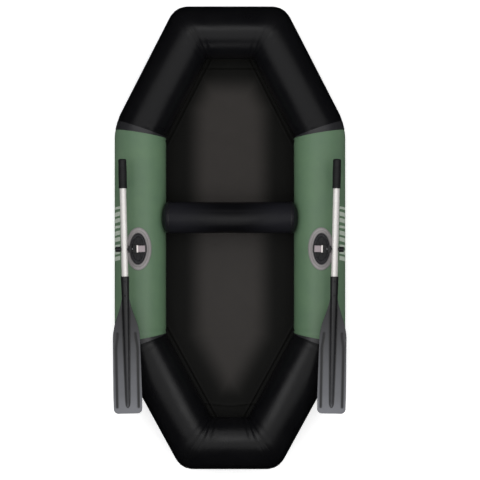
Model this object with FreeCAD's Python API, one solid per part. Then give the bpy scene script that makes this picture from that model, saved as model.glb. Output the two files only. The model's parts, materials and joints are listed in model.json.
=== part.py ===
import FreeCAD, Part

import math
import os
from FreeCAD import Placement, Rotation, Vector

# One-person inflatable rowing dinghy. Millimetres, +Z up, bow towards +Y, port side at -X.
# The origin is on the ground under the middle of the hull.
# Port parts are modelled, and starboard parts are their mirror images in the X = 0 plane.

# ---- driving dimensions ----
OVERALL_LENGTH = 2200.0
OVERALL_WIDTH = 1106.0
TUBE_RADIUS = 123.0
SKIN = 1.0              # coated fabric of the air tubes
FLOOR = 1.2             # coated fabric of the bottom
GLUE = 0.1              # glue line between bonded pieces
BOW_RISE = 55.0         # how much higher the bow tube lies than the side tubes
STERN_RISE = 35.0
SIDE_FRONT_Y = 512.0    # where a side tube's axis meets the bow quarter's axis
SIDE_BACK_Y = -489.0
BOW_HALF_AXIS = 185.0   # half of the bow tube's length, on its axis
STERN_HALF_AXIS = 159.0

TAPE = 0.8
TAPE_HALF_WIDTH = 12.0
FLOOR_OVERLAP = 25.0    # how far the bottom runs outboard of the tube axes, where it is bonded
FLOOR_TAPE_EDGES = (27.0, 66.0)  # the inner tape's edges, inboard of the tube axes

SEAT_RADIUS = 75.0
SEAT_Y = 98.0
SEAT_Z = 170.0
SEAT_HALF_LENGTH = 322.0
SEAT_DOME = 260.0       # radius of the roll's bulging ends
SEAT_END_SEAM_X = 296.0
SEAT_CLEARANCE = 0.6

OARLOCK_Y = -50.0
OAR_OFFSET = 60.0       # oar axis, outboard of the oarlock's turning axis
OAR_Z = 310.0
OAR_REST_TURN = 1.33    # degrees that the stowed blade points inboard
PAD_HALF = (61.0, 101.0)
SOCKET_HALF = (33.0, 67.0)
PAD_FLANGE = 4.0
PAD_TOP = 14.0          # heights above the tube's crown
SOCKET_FLOOR = 3.0
SOCKET_TOP = 22.0
SPIGOT_RADIUS = 13.0
RUNNING = 0.05          # radial clearance of a turning fit
PIN_RADIUS = 5.0
ARM_WIDTH = 33.0
ARM_THICKNESS = 20.0
ARM_INBOARD = 41.0
LUG_BACK = 24.0
LUG_FACE = 42.0
COLLAR_RADIUS = 21.0
CAP_RADIUS = 9.0
BUSH_RADIUS = 7.0

SHAFT_RADIUS = 15.0
SHAFT_WALL = 1.2
GRIP_RADIUS = 18.5
GRIP_FRONT = 420.0      # distances from the oar's pin, along the shaft
GRIP_BACK = 283.0
SOCKET_START = 127.0
SHAFT_END = 237.0
SPINE_RADII = (19.5, 6.5)
SPINE_END = 728.0
SPINE_WALL = 3.0
BLADE_TIP = 765.0
BLADE_THICKNESS = 5.0
RIVET_AT = (150.0, 215.0)
RIVET_RADIUS = 2.4

VALVE_Y = 330.0
VALVE_TURN = 125.0      # degrees from straight up, inboard and down
SEAT_VALVE_X = -190.0
SEAT_VALVE_TURN = 140.0

# ---- derived places ----
AXIS_Z = FLOOR + GLUE + TUBE_RADIUS
CROWN_Z = AXIS_Z + TUBE_RADIUS
SIDE_AXIS_X = OVERALL_WIDTH / 2 - TUBE_RADIUS
END_AXIS_Y = OVERALL_LENGTH / 2 - TUBE_RADIUS
BOW_SLOPE = math.atan2(BOW_RISE, END_AXIS_Y - SIDE_FRONT_Y)
STERN_SLOPE = math.atan2(STERN_RISE, END_AXIS_Y + SIDE_BACK_Y)
FAR = 3000.0

X_AXIS = Vector(1, 0, 0)
Y_AXIS = Vector(0, 1, 0)
Z_AXIS = Vector(0, 0, 1)
ORIGIN = Vector(0, 0, 0)
SQUARE = [(-1, -1), (1, -1), (1, 1), (-1, 1)]

CORNERS = [
    Vector(BOW_HALF_AXIS, END_AXIS_Y, AXIS_Z + BOW_RISE),
    Vector(-BOW_HALF_AXIS, END_AXIS_Y, AXIS_Z + BOW_RISE),
    Vector(-SIDE_AXIS_X, SIDE_FRONT_Y, AXIS_Z),
    Vector(-SIDE_AXIS_X, SIDE_BACK_Y, AXIS_Z),
    Vector(-STERN_HALF_AXIS, -END_AXIS_Y, AXIS_Z + STERN_RISE),
    Vector(STERN_HALF_AXIS, -END_AXIS_Y, AXIS_Z + STERN_RISE),
    Vector(SIDE_AXIS_X, SIDE_BACK_Y, AXIS_Z),
    Vector(SIDE_AXIS_X, SIDE_FRONT_Y, AXIS_Z),
]
TUBES = [
    "bow_tube",
    "port_bow_tube",
    "port_side_tube",
    "port_stern_tube",
    "stern_tube",
    "starboard_stern_tube",
    "starboard_side_tube",
    "starboard_bow_tube",
]
SEAM_TAPES = [
    "bow_starboard_corner_tape",
    "bow_port_corner_tape",
    "port_front_seam_tape",
    "port_back_seam_tape",
    "stern_port_corner_tape",
    "stern_starboard_corner_tape",
    "starboard_back_seam_tape",
    "starboard_front_seam_tape",
]


# ---- general shapes ----
def unit(vector):
    return Vector(vector).normalize()


def cylinder(radius, start, end, direction, centre=ORIGIN):
    """A round bar along direction, from start to end, measured from centre."""
    direction = unit(direction)
    return Part.makeCylinder(radius, end - start, centre + direction * start, direction)


def slab(point, normal, start, end):
    """Everything between two parallel planes, at start and end along normal from point."""
    block = Part.makeBox(FAR, FAR, end - start, Vector(-FAR / 2, -FAR / 2, start))
    block.Placement = Placement(point, Rotation(Z_AXIS, normal))
    return block


def oval(half_x, half_y, low, high, centre=ORIGIN):
    """An upright elliptical prism, longer along Y than along X."""
    edge = Part.Ellipse(ORIGIN, half_y, half_x).toShape()
    edge.rotate(ORIGIN, Z_AXIS, 90)
    edge.translate(centre + Z_AXIS * low)
    return Part.Face(Part.Wire([edge])).extrude(Z_AXIS * (high - low))


def rounded_face(points, radii):
    """A flat face with straight sides between points, and an arc of each point's radius in its corner."""
    corners = []
    count = len(points)
    for index, (point, radius) in enumerate(zip(points, radii)):
        to_last = unit(points[index - 1] - point)
        to_next = unit(points[(index + 1) % count] - point)
        half_angle = to_last.getAngle(to_next) / 2
        reach = radius / math.tan(half_angle)
        middle = unit(to_last + to_next) * (radius / math.sin(half_angle) - radius)
        corners.append((point + to_last * reach, point + middle, point + to_next * reach, radius))
    edges = []
    for index, (start, middle, end, radius) in enumerate(corners):
        if radius:
            edges.append(Part.Arc(start, middle, end).toShape())
        following = corners[(index + 1) % count][0]
        if (following - end).Length > 1e-6:
            edges.append(Part.LineSegment(end, following).toShape())
    return Part.Face(Part.Wire(edges))


def starboard(shape):
    return shape.mirror(ORIGIN, X_AXIS)


# ---- air tubes, tapes, bulkheads ----
def along(index):
    """Unit direction of tube number index, from its own corner to the next."""
    return unit(CORNERS[(index + 1) % 8] - CORNERS[index % 8])


def mitre_normal(index):
    """Normal of the plane where the tubes on both sides of a corner meet."""
    return unit(along(index - 1 + 8) + along(index))


def endless_bar(index, radius):
    length = (CORNERS[(index + 1) % 8] - CORNERS[index]).Length
    return cylinder(radius, -2 * TUBE_RADIUS, length + 2 * TUBE_RADIUS, along(index), CORNERS[index])


def mitred(shape, index):
    """Shape without what lies past the mitre planes at both ends of tube number index."""
    after = (index + 1) % 8
    shape = shape.cut(slab(CORNERS[index], mitre_normal(index), -FAR, GLUE / 2))
    return shape.cut(slab(CORNERS[after], mitre_normal(after), -GLUE / 2, FAR))


def air_tube(index):
    """One panel of the hull's ring: an open-ended skin between two mitred joints."""
    skin = endless_bar(index, TUBE_RADIUS).cut(endless_bar(index, TUBE_RADIUS - SKIN))
    return mitred(skin, index)


def seam_tape(index):
    """A band over the joint at a corner, bonded to both tubes and cut away where the bottom is bonded."""
    halves = []
    for tube, start, end in ((index - 1 + 8) % 8, -TAPE_HALF_WIDTH, 0), (index, 0, TAPE_HALF_WIDTH):
        inner = TUBE_RADIUS + GLUE
        ring = endless_bar(tube, inner + TAPE).cut(endless_bar(tube, inner))
        halves.append(ring.common(slab(CORNERS[index], mitre_normal(index), start, end)))
    band = halves[0].fuse(halves[1]).removeSplitter()
    return band.cut(bent_sheet(TUBE_RADIUS + GLUE / 2, TUBE_RADIUS + 3 * FLOOR, FLOOR_OVERLAP + GLUE))


def bulkhead():
    """A shallow cone of fabric across the inside of the port side tube, between the two air chambers."""
    bore = TUBE_RADIUS - SKIN - GLUE
    depth = 30.0
    centre = Vector(-SIDE_AXIS_X, 0, AXIS_Z)
    outer = Part.makeCone(bore, bore / 3, depth, centre, Y_AXIS)
    inner = Part.makeCone(bore, bore / 3, depth, centre - Y_AXIS * SKIN, Y_AXIS)
    cap = cylinder(bore / 3, depth - SKIN, depth, Y_AXIS, centre)
    return outer.cut(inner).fuse(cap).removeSplitter()


# ---- bottom ----
def outline(overlap):
    """The hull's plan, overlap outboard of the tube axes, as an upright prism."""
    points = [Vector(c.x, c.y, 0) for c in CORNERS]
    moved = []
    for index, point in enumerate(points):
        before = unit(point - points[index - 1])
        after = unit(points[(index + 1) % 8] - point)
        outward = unit(before.cross(Z_AXIS) + after.cross(Z_AXIS))
        moved.append(point + outward * (overlap / outward.dot(before.cross(Z_AXIS))))
    edge = Part.makePolygon(moved + [moved[0]])
    return Part.Face(edge).extrude(Z_AXIS * FAR)


def side_view_panel(points):
    """A panel as wide as the boat, from its side view: (y, depth below the side tubes' axes) points."""
    corners = [Vector(-OVERALL_WIDTH, y, AXIS_Z - depth) for y, depth in points]
    return Part.Face(Part.makePolygon(corners + [corners[0]])).extrude(X_AXIS * 2 * OVERALL_WIDTH)


def bent_sheet(high, low, overlap, hole_overlap=None):
    """The bottom's three flat panels between two depths below the tube axes, bent where the tubes' slope changes."""
    def crease(start_y, slope, direction, depth):
        return start_y + direction * depth * math.tan(slope / 2), depth

    def far_end(start_y, slope, direction, depth):
        reach = OVERALL_LENGTH / 2
        y = start_y + direction * (reach * math.cos(slope) + depth * math.sin(slope))
        return y, depth * math.cos(slope) - reach * math.sin(slope)

    bow = (SIDE_FRONT_Y, BOW_SLOPE, 1)
    stern = (SIDE_BACK_Y, STERN_SLOPE, -1)
    middle = [crease(*stern, high), crease(*bow, high), crease(*bow, low), crease(*stern, low)]
    panels = [side_view_panel(middle)]
    for end in bow, stern:
        panels.append(side_view_panel([crease(*end, high), far_end(*end, high), far_end(*end, low), crease(*end, low)]))
    keep = outline(overlap)
    if hole_overlap is not None:
        keep = keep.cut(outline(hole_overlap))
    return Part.Compound([solid for panel in panels for solid in panel.common(keep).Solids])


def floor_sheet():
    return bent_sheet(TUBE_RADIUS + GLUE, TUBE_RADIUS + GLUE + FLOOR, FLOOR_OVERLAP)


def floor_seam_tape():
    inner, outer = FLOOR_TAPE_EDGES
    return bent_sheet(TUBE_RADIUS + GLUE / 2 - TAPE, TUBE_RADIUS + GLUE / 2, -inner, -outer)


# ---- seat ----
def seat_body(inset):
    """The roll as a solid, inset from its outer surface all round; its ends bear on the side tubes."""
    radius = SEAT_RADIUS - inset
    centre = Vector(0, SEAT_Y, SEAT_Z)
    roll = cylinder(radius, -SEAT_HALF_LENGTH, SEAT_HALF_LENGTH, X_AXIS, centre)
    for side in (-1, 1):
        dome_centre = centre + X_AXIS * side * (SEAT_HALF_LENGTH - SEAT_DOME)
        dome = Part.makeSphere(SEAT_DOME - inset, dome_centre)
        outer_half = slab(ORIGIN, X_AXIS * side, SEAT_HALF_LENGTH / 2, FAR / 2)
        roll = roll.cut(outer_half.cut(dome))
        tube_centre = Vector(side * SIDE_AXIS_X, 0, AXIS_Z)
        bearing = cylinder(TUBE_RADIUS + SEAT_CLEARANCE + inset, -FAR / 2, FAR / 2, Y_AXIS, tube_centre)
        roll = roll.cut(bearing)
    return roll


def seat_panels():
    skin = seat_body(0).cut(seat_body(SKIN))
    seam = SEAT_END_SEAM_X
    return {
        "seat_roll": skin.common(slab(ORIGIN, X_AXIS, GLUE / 2 - seam, seam - GLUE / 2)),
        "seat_port_end": skin.common(slab(ORIGIN, X_AXIS, -FAR / 2, -seam - GLUE / 2)),
        "seat_starboard_end": skin.common(slab(ORIGIN, X_AXIS, seam + GLUE / 2, FAR / 2)),
    }


# ---- oarlock ----
def oarlock_pad():
    """Soft oval pad, bonded to the port side tube's crown, with a pocket for the hard socket."""
    centre = Vector(-SIDE_AXIS_X, OARLOCK_Y, 0)
    tube = cylinder(TUBE_RADIUS + GLUE, -FAR / 2, FAR / 2, Y_AXIS, Vector(-SIDE_AXIS_X, 0, AXIS_Z))
    flange_top = cylinder(TUBE_RADIUS + PAD_FLANGE, -FAR / 2, FAR / 2, Y_AXIS, Vector(-SIDE_AXIS_X, 0, AXIS_Z))
    flange = oval(*PAD_HALF, AXIS_Z, CROWN_Z + PAD_FLANGE, centre).common(flange_top)
    shoulder_half = [half + 10.0 for half in SOCKET_HALF]
    shoulder = oval(*shoulder_half, AXIS_Z, CROWN_Z + PAD_TOP, centre)
    rim = [e for e in shoulder.Edges if abs(e.BoundBox.ZMin - CROWN_Z - PAD_TOP) < 1e-6 and not e.BoundBox.ZLength > 1e-3]
    shoulder = shoulder.makeFillet(5.0, rim)
    pocket_half = [half + GLUE for half in SOCKET_HALF]
    pocket = oval(*pocket_half, CROWN_Z + SOCKET_FLOOR - GLUE, CROWN_Z + 2 * SOCKET_TOP, centre)
    return flange.fuse(shoulder).cut(tube).cut(pocket).removeSplitter()


def oarlock_socket():
    """Hard oval socket: a blind bore for the swivel's spigot between two ribbed hollows."""
    centre = Vector(-SIDE_AXIS_X, OARLOCK_Y, 0)
    top = CROWN_Z + SOCKET_TOP
    body = oval(*SOCKET_HALF, CROWN_Z + SOCKET_FLOOR, top, centre)
    hollow_depth = 12.0
    wall = 5.0
    hub_radius = 22.0
    rib = 2.6
    hollow = oval(SOCKET_HALF[0] - wall, SOCKET_HALF[1] - wall, top - hollow_depth, top + 1, centre)
    hollow = hollow.cut(cylinder(hub_radius, 0, FAR, Z_AXIS, centre))
    for turn in range(0, 180, 30):
        blade = Part.makeBox(2 * FAR, rib, FAR, Vector(-FAR, -rib / 2, 0))
        blade.rotate(ORIGIN, Z_AXIS, turn + 15)
        blade.translate(centre)
        hollow = hollow.cut(blade)
    bore = cylinder(SPIGOT_RADIUS + RUNNING, CROWN_Z + SOCKET_FLOOR + 2.0, FAR, Z_AXIS, centre)
    return body.cut(hollow).cut(bore)


def arm_profile(high):
    """Side view of the swivel's arm: a flat bar whose outboard end rises round the pin."""
    low = CROWN_Z + SOCKET_TOP + 0.5
    x = -SIDE_AXIS_X
    points = [
        Vector(x + ARM_INBOARD, 0, low),
        Vector(x + ARM_INBOARD, 0, low + ARM_THICKNESS * 0.55),
        Vector(x + 10.0, 0, low + ARM_THICKNESS),
        Vector(x - LUG_BACK, 0, low + ARM_THICKNESS),
        Vector(x - LUG_BACK, 0, high),
        Vector(x - LUG_FACE, 0, high),
        Vector(x - LUG_FACE, 0, low),
    ]
    return rounded_face(points, [3.0, 4.0, 12.0, 5.0, 6.0, 6.0, 4.0])


def swivel_arm():
    """The turning arm with its spigot; it reaches outboard to the oar's pin."""
    centre = Vector(-SIDE_AXIS_X, OARLOCK_Y, 0)
    low = CROWN_Z + SOCKET_TOP + 0.5
    lug_top = OAR_Z + 15.0
    arm = arm_profile(lug_top).extrude(Y_AXIS * ARM_WIDTH)
    arm.translate(Y_AXIS * (OARLOCK_Y - ARM_WIDTH / 2))
    spigot = cylinder(SPIGOT_RADIUS, CROWN_Z + SOCKET_FLOOR + 2.6, low + 1, Z_AXIS, centre)
    collar = cylinder(COLLAR_RADIUS, low, low + 3.0, Z_AXIS, centre)
    pin_hole = cylinder(PIN_RADIUS, 0, FAR, -X_AXIS, Vector(-SIDE_AXIS_X - LUG_BACK + 4.0, OARLOCK_Y, OAR_Z))
    cap_seat = cylinder(CAP_RADIUS + GLUE, low + ARM_THICKNESS - 3.0, FAR, Z_AXIS, centre)
    return arm.fuse(spigot).fuse(collar).cut(pin_hole).cut(cap_seat).removeSplitter()


def swivel_cap():
    """Domed plug over the head of the swivel's fixing screw."""
    centre = Vector(-SIDE_AXIS_X, OARLOCK_Y, 0)
    seat = CROWN_Z + SOCKET_TOP + 0.5 + ARM_THICKNESS - 3.0
    cap = cylinder(CAP_RADIUS, seat + GLUE, seat + 5.5, Z_AXIS, centre)
    rim = [e for e in cap.Edges if e.BoundBox.ZMin > seat + 5.0]
    return cap.makeFillet(2.2, rim)


def oar_pin():
    """Steel pin, pressed into the swivel's lug, that carries the oar and its knob."""
    start = Vector(-SIDE_AXIS_X - LUG_BACK + 4.0, OARLOCK_Y, OAR_Z)
    length = OAR_OFFSET + 38.0 - LUG_BACK + 4.0
    return cylinder(PIN_RADIUS, 0, length, -X_AXIS, start)


def pin_knob():
    """Six-lobed hand knob on the pin's outboard end."""
    inner_x = -SIDE_AXIS_X - OAR_OFFSET - 18.5
    centre = Vector(inner_x, OARLOCK_Y, OAR_Z)
    length = 22.0
    knob = cylinder(13.0, 0, length, -X_AXIS, centre)
    for turn in range(0, 360, 60):
        radial = Vector(0, math.cos(math.radians(turn)), math.sin(math.radians(turn)))
        knob = knob.cut(cylinder(5.0, 5.0, FAR / 10, -X_AXIS, centre + radial * 16.5))
    return knob.cut(cylinder(PIN_RADIUS + RUNNING, -1, length - 2.0, -X_AXIS, centre))


# ---- oar, modelled straight, with its pin at the port oar's place ----
def oar_point(back, right=0.0, up=0.0):
    """A point on the oar: back is the distance from the pin towards the blade's tip."""
    return Vector(-SIDE_AXIS_X - OAR_OFFSET + right, OARLOCK_Y - back, OAR_Z + up)


def oar_shaft():
    length = SHAFT_END + GRIP_FRONT - 6.0
    start = oar_point(SHAFT_END)
    tube = cylinder(SHAFT_RADIUS, 0, length, Y_AXIS, start)
    tube = tube.cut(cylinder(SHAFT_RADIUS - SHAFT_WALL, -1, length + 1, Y_AXIS, start))
    tube = tube.cut(cylinder(BUSH_RADIUS + GLUE, -FAR, FAR, X_AXIS, oar_point(0)))
    for back in RIVET_AT:
        tube = tube.cut(cylinder(RIVET_RADIUS + GLUE, -FAR, FAR, Z_AXIS, oar_point(back)))
    return tube


def oar_bush():
    """Plastic bush across the shaft, which turns on the pin and stands a little proud of both sides."""
    half = SHAFT_RADIUS + 2.0
    bush = cylinder(BUSH_RADIUS, -half, half, X_AXIS, oar_point(0))
    return bush.cut(cylinder(PIN_RADIUS + RUNNING, -FAR, FAR, X_AXIS, oar_point(0)))


def oar_grip():
    """Soft sleeve over the shaft's front end, with a rounded closed end and moulded rings."""
    end_round = 9.0
    grip = cylinder(GRIP_RADIUS, 0, GRIP_FRONT - GRIP_BACK, Y_AXIS, oar_point(-GRIP_BACK))
    front_y = OARLOCK_Y + GRIP_FRONT
    front = [e for e in grip.Edges if e.BoundBox.YMin > front_y - 1e-3]
    grip = grip.makeFillet(end_round, front)
    ring_gap = 8.0
    for step in range(5):
        place = oar_point(-GRIP_BACK - 20.0 - step * ring_gap)
        ring = cylinder(GRIP_RADIUS + 1, 0, 2.5, Y_AXIS, place)
        grip = grip.cut(ring.cut(cylinder(GRIP_RADIUS - 1.0, -1, 4, Y_AXIS, place)))
    return grip.cut(cylinder(SHAFT_RADIUS + GLUE / 2, -1, GRIP_FRONT - GRIP_BACK - 5.5, Y_AXIS, oar_point(-GRIP_BACK)))


def spine_radius(back):
    """Radius of the blade's tapering spine, at a distance from the pin."""
    return SPINE_RADII[0] + (SPINE_RADII[1] - SPINE_RADII[0]) * (back - SOCKET_START) / (SPINE_END - SOCKET_START)


def blade_rivets():
    """Two rivets through the blade's socket and the shaft, with a low round head at both ends."""
    rivets = []
    for back in RIVET_AT:
        half = spine_radius(back) + 0.3
        rivet = cylinder(RIVET_RADIUS, -half, half, Z_AXIS, oar_point(back))
        for side in (-1, 1):
            head = cylinder(4.6, half, half + 1.8, Z_AXIS * side, oar_point(back))
            rim = [e for e in head.Edges if abs(abs(e.CenterOfMass.z - OAR_Z) - half - 1.8) < 1e-3]
            rivet = rivet.fuse(head.makeFillet(1.5, rim))
        rivets.append(rivet.removeSplitter())
    return Part.Compound(rivets)


def groove(side, face):
    """A round-ended channel beside the blade's spine, pressed into one face."""
    width = 13.0
    depth = 1.6
    start = oar_point(392.0, side * 41.0)
    bend = oar_point(470.0, side * 49.5)
    end = oar_point(736.0, side * 50.0)
    level = face * BLADE_THICKNESS / 2 - (depth if face > 0 else 0)
    shape = None
    for a, b in (start, bend), (bend, end):
        across = unit(Z_AXIS.cross(b - a)) * width / 2
        run = Part.Face(Part.makePolygon([a + across, b + across, b - across, a - across, a + across]))
        pieces = [run.extrude(Z_AXIS * depth)]
        pieces += [cylinder(width / 2, 0, depth, Z_AXIS, p) for p in (a, b)]
        for piece in pieces:
            shape = piece if shape is None else shape.fuse(piece)
    shape.translate(Z_AXIS * level)
    return shape


def oar_blade():
    """Moulded blade: a flat web, a tapering spine that is hollow where it takes the shaft, and four grooves."""
    half = [
        oar_point(205.0, 15.0),
        oar_point(262.0, 26.0),
        oar_point(396.0, 63.0),
        oar_point(690.0, 67.0),
        oar_point(BLADE_TIP, 66.0),
    ]
    other = [Vector(2 * oar_point(0).x - p.x, p.y, p.z) for p in reversed(half)]
    radii = [2.0, 120.0, 90.0, 200.0, 24.0]
    web = rounded_face(half + other, radii + radii[::-1])
    web.translate(Z_AXIS * -BLADE_THICKNESS / 2)
    web = web.extrude(Z_AXIS * BLADE_THICKNESS)
    length = SPINE_END - SOCKET_START
    spine = Part.makeCone(SPINE_RADII[0], SPINE_RADII[1], length, oar_point(SOCKET_START), -Y_AXIS)
    blade = web.fuse(spine).fuse(Part.makeSphere(SPINE_RADII[1], oar_point(SPINE_END)))
    for side in (-1, 1):
        for face in (-1, 1):
            blade = blade.cut(groove(side, face))
    core_radii = [spine_radius(back) - SPINE_WALL for back in (SHAFT_END, SPINE_END)]
    blade = blade.cut(Part.makeCone(*core_radii, SPINE_END - SHAFT_END, oar_point(SHAFT_END), -Y_AXIS))
    bore_length = SHAFT_END + 1 - SOCKET_START
    blade = blade.cut(cylinder(SHAFT_RADIUS + RUNNING, -1, bore_length, -Y_AXIS, oar_point(SOCKET_START)))
    for back in RIVET_AT:
        blade = blade.cut(cylinder(RIVET_RADIUS + GLUE, -FAR, FAR, Z_AXIS, oar_point(back)))
    return blade.removeSplitter()


def stowed(shape):
    """Turns a straight port part about the oarlock's axis, to where the oar is stowed."""
    turned = shape.copy()
    turned.rotate(Vector(-SIDE_AXIS_X, OARLOCK_Y, 0), Z_AXIS, OAR_REST_TURN)
    return turned


# ---- inflation valves, modelled with the outside of the skin at Z = 0 and the tube's axis along Y ----
VALVE = {"flange": 23.0, "barrel": 15.0, "mouth": 11.0, "depth": 20.0, "web": 2.5, "stem": 2.4, "web_low": -10.0}


def valve_body(wall_radius):
    skin_axis = Vector(0, 0, -wall_radius)
    flange = cylinder(VALVE["flange"], -6.0, 4.0, Z_AXIS)
    flange = flange.cut(cylinder(wall_radius + GLUE, -FAR, FAR, Y_AXIS, skin_axis))
    body = flange.fuse(cylinder(VALVE["barrel"], -VALVE["depth"], 4.0, Z_AXIS))
    body = body.cut(cylinder(VALVE["mouth"], -VALVE["depth"] - 1, 5.0, Z_AXIS))
    web = cylinder(VALVE["mouth"] + 1, VALVE["web_low"], VALVE["web_low"] + VALVE["web"], Z_AXIS)
    web = web.cut(cylinder(VALVE["stem"] + 0.08, -FAR, FAR, Z_AXIS))
    for turn in range(0, 360, 60):
        radial = Vector(math.cos(math.radians(turn)), math.sin(math.radians(turn)), 0) * 6.4
        web = web.cut(cylinder(1.8, -FAR, FAR, Z_AXIS, radial))
    return body.fuse(web).removeSplitter()


def valve_backing_ring(wall_radius):
    inside = wall_radius - SKIN - GLUE
    ring = cylinder(VALVE["flange"] - 2.0, -9.0, 0, Z_AXIS)
    ring = ring.common(cylinder(inside, -FAR, FAR, Y_AXIS, Vector(0, 0, -wall_radius)))
    return ring.cut(cylinder(VALVE["barrel"] + GLUE, -FAR, FAR, Z_AXIS))


def valve_poppet():
    """Seal disc under the web, on a stem with a broad head: pressing the head lets air out."""
    disc_top = VALVE["web_low"] - 0.3
    disc = cylinder(9.5, disc_top - 2.5, disc_top, Z_AXIS)
    stem = cylinder(VALVE["stem"], disc_top - 2.5, -1.0, Z_AXIS)
    head = cylinder(4.6, -2.2, 0.0, Z_AXIS)
    return disc.fuse(stem).fuse(head).removeSplitter()


def valve_spring():
    """Small coil spring between the web and the poppet's head: a few turns of square wire."""
    wire = 0.8
    coil_radius = 3.4
    pitch = 1.3
    turns = 2.75
    start = VALVE["web_low"] + VALVE["web"] + wire / 2 + GLUE
    helix = Part.makeHelix(pitch, pitch * turns, coil_radius)
    corners = [Vector(coil_radius + dx * wire / 2, 0, dz * wire / 2) for dx, dz in SQUARE]
    section = Part.makePolygon(corners + [corners[0]])
    spring = Part.Wire(helix).makePipeShell([section], True, True)
    spring.translate(Z_AXIS * start)
    return spring


def valve_cap():
    top = 11.0
    cap = cylinder(17.0, 4.3, top, Z_AXIS)
    rim = [e for e in cap.Edges if e.BoundBox.ZMin > top - 1e-3]
    cap = cap.makeFillet(2.0, rim)
    for turn in range(0, 360, 30):
        radial = Vector(math.cos(math.radians(turn)), math.sin(math.radians(turn)), 0) * 18.4
        cap = cap.cut(cylinder(2.4, 3.0, FAR / 10, Z_AXIS, radial))
    bar = Part.makeBox(24.0, 5.0, 4.0, Vector(-12.0, -2.5, top - 0.5))
    plug = cylinder(VALVE["mouth"] - 0.3, 1.2, 5.0, Z_AXIS)
    return cap.fuse(bar).fuse(plug).removeSplitter()


def valve_parts(name, place, wall_radius, with_ring):
    parts = {
        f"{name}_valve_body": valve_body(wall_radius),
        f"{name}_valve_poppet": valve_poppet(),
        f"{name}_valve_spring": valve_spring(),
        f"{name}_valve_cap": valve_cap(),
    }
    if with_ring:
        parts[f"{name}_valve_backing_ring"] = valve_backing_ring(wall_radius)
    hole = cylinder(VALVE["barrel"] + GLUE, -FAR / 10, FAR / 10, Z_AXIS)
    hole = hole.common(slab(ORIGIN, Z_AXIS, -20.0, 20.0))
    for shape in [*parts.values(), hole]:
        shape.Placement = place.multiply(shape.Placement)
    return parts, hole


def side_valve_place():
    """The port side tube's inboard face, below the widest point."""
    turn = Rotation(Y_AXIS, VALVE_TURN)
    outward = turn.multVec(Z_AXIS)
    return Placement(Vector(-SIDE_AXIS_X, VALVE_Y, AXIS_Z) + outward * TUBE_RADIUS, turn)


def seat_valve_place():
    turn = Rotation(X_AXIS, SEAT_VALVE_TURN).multiply(Rotation(Z_AXIS, -90))
    outward = turn.multVec(Z_AXIS)
    return Placement(Vector(SEAT_VALVE_X, SEAT_Y, SEAT_Z) + outward * SEAT_RADIUS, turn)


# ---- the whole boat ----
def build():
    nodes = {name: air_tube(index) for index, name in enumerate(TUBES)}
    nodes.update({name: seam_tape(index) for index, name in enumerate(SEAM_TAPES)})
    nodes["floor_sheet"] = floor_sheet()
    nodes["floor_seam_tape"] = floor_seam_tape()
    nodes.update(seat_panels())

    port = {
        "bulkhead": bulkhead(),
        "oarlock_pad": oarlock_pad(),
        "oarlock_socket": oarlock_socket(),
        "oarlock_swivel": stowed(swivel_arm()),
        "swivel_cap": stowed(swivel_cap()),
        "oar_pin": stowed(oar_pin()),
        "pin_knob": stowed(pin_knob()),
        "oar_shaft": stowed(oar_shaft()),
        "oar_bush": stowed(oar_bush()),
        "oar_grip": stowed(oar_grip()),
        "blade_rivets": stowed(blade_rivets()),
        "oar_blade": stowed(oar_blade()),
    }
    for name, shape in port.items():
        nodes[f"port_{name}"] = shape
        nodes[f"starboard_{name}"] = starboard(shape)

    bow_valve, hole = valve_parts("bow", side_valve_place(), TUBE_RADIUS, True)
    nodes.update(bow_valve)
    nodes["port_side_tube"] = nodes["port_side_tube"].cut(hole)
    stern_place = side_valve_place()
    stern_place.Base.y = -VALVE_Y
    stern_valve, hole = valve_parts("stern", stern_place, TUBE_RADIUS, True)
    nodes.update({name: starboard(shape) for name, shape in stern_valve.items()})
    nodes["starboard_side_tube"] = nodes["starboard_side_tube"].cut(starboard(hole))
    seat_valve, hole = valve_parts("seat", seat_valve_place(), SEAT_RADIUS, False)
    nodes.update(seat_valve)
    nodes["seat_roll"] = nodes["seat_roll"].cut(hole)
    return nodes


def main():
    os.makedirs("parts", exist_ok=True)
    for name, shape in sorted(build().items()):
        solids = shape.Solids
        valid = shape.isValid() and solids and all(s.isClosed() for s in solids)
        solid = solids[0] if len(solids) == 1 else Part.Compound(solids)
        solid.exportStep(f"parts/{name}.step")
        print(f"{name}: {len(solids)} solid(s), {shape.Volume / 1000:.1f} cm3, valid {bool(valid)}")


main()
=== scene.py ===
"""Inflatable rowing dinghy: PVC air tubes, sheet bottom, roll seat, turning oarlocks and stowed oars."""

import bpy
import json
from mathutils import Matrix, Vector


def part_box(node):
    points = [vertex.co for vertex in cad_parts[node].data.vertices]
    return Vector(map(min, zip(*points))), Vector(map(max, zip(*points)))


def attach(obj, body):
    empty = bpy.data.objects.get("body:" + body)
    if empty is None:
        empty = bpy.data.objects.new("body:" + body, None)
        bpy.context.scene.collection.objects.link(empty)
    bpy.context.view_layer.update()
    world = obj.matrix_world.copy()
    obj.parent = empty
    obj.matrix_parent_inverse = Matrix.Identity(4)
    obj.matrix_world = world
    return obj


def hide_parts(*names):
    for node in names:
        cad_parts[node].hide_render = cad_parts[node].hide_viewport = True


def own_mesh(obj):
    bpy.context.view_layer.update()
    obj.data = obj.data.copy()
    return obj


bl_info = {
    "name": "Inflatable Rowing Dinghy",
    "version": (1, 0, 0),
    "blender": (4, 5, 0),
    "location": "View3D > Sidebar > Dinghy",
    "description": "Builds the soft and moulded pieces of a small rowing dinghy around its packed frame",
    "category": "Add Mesh",
}

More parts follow.
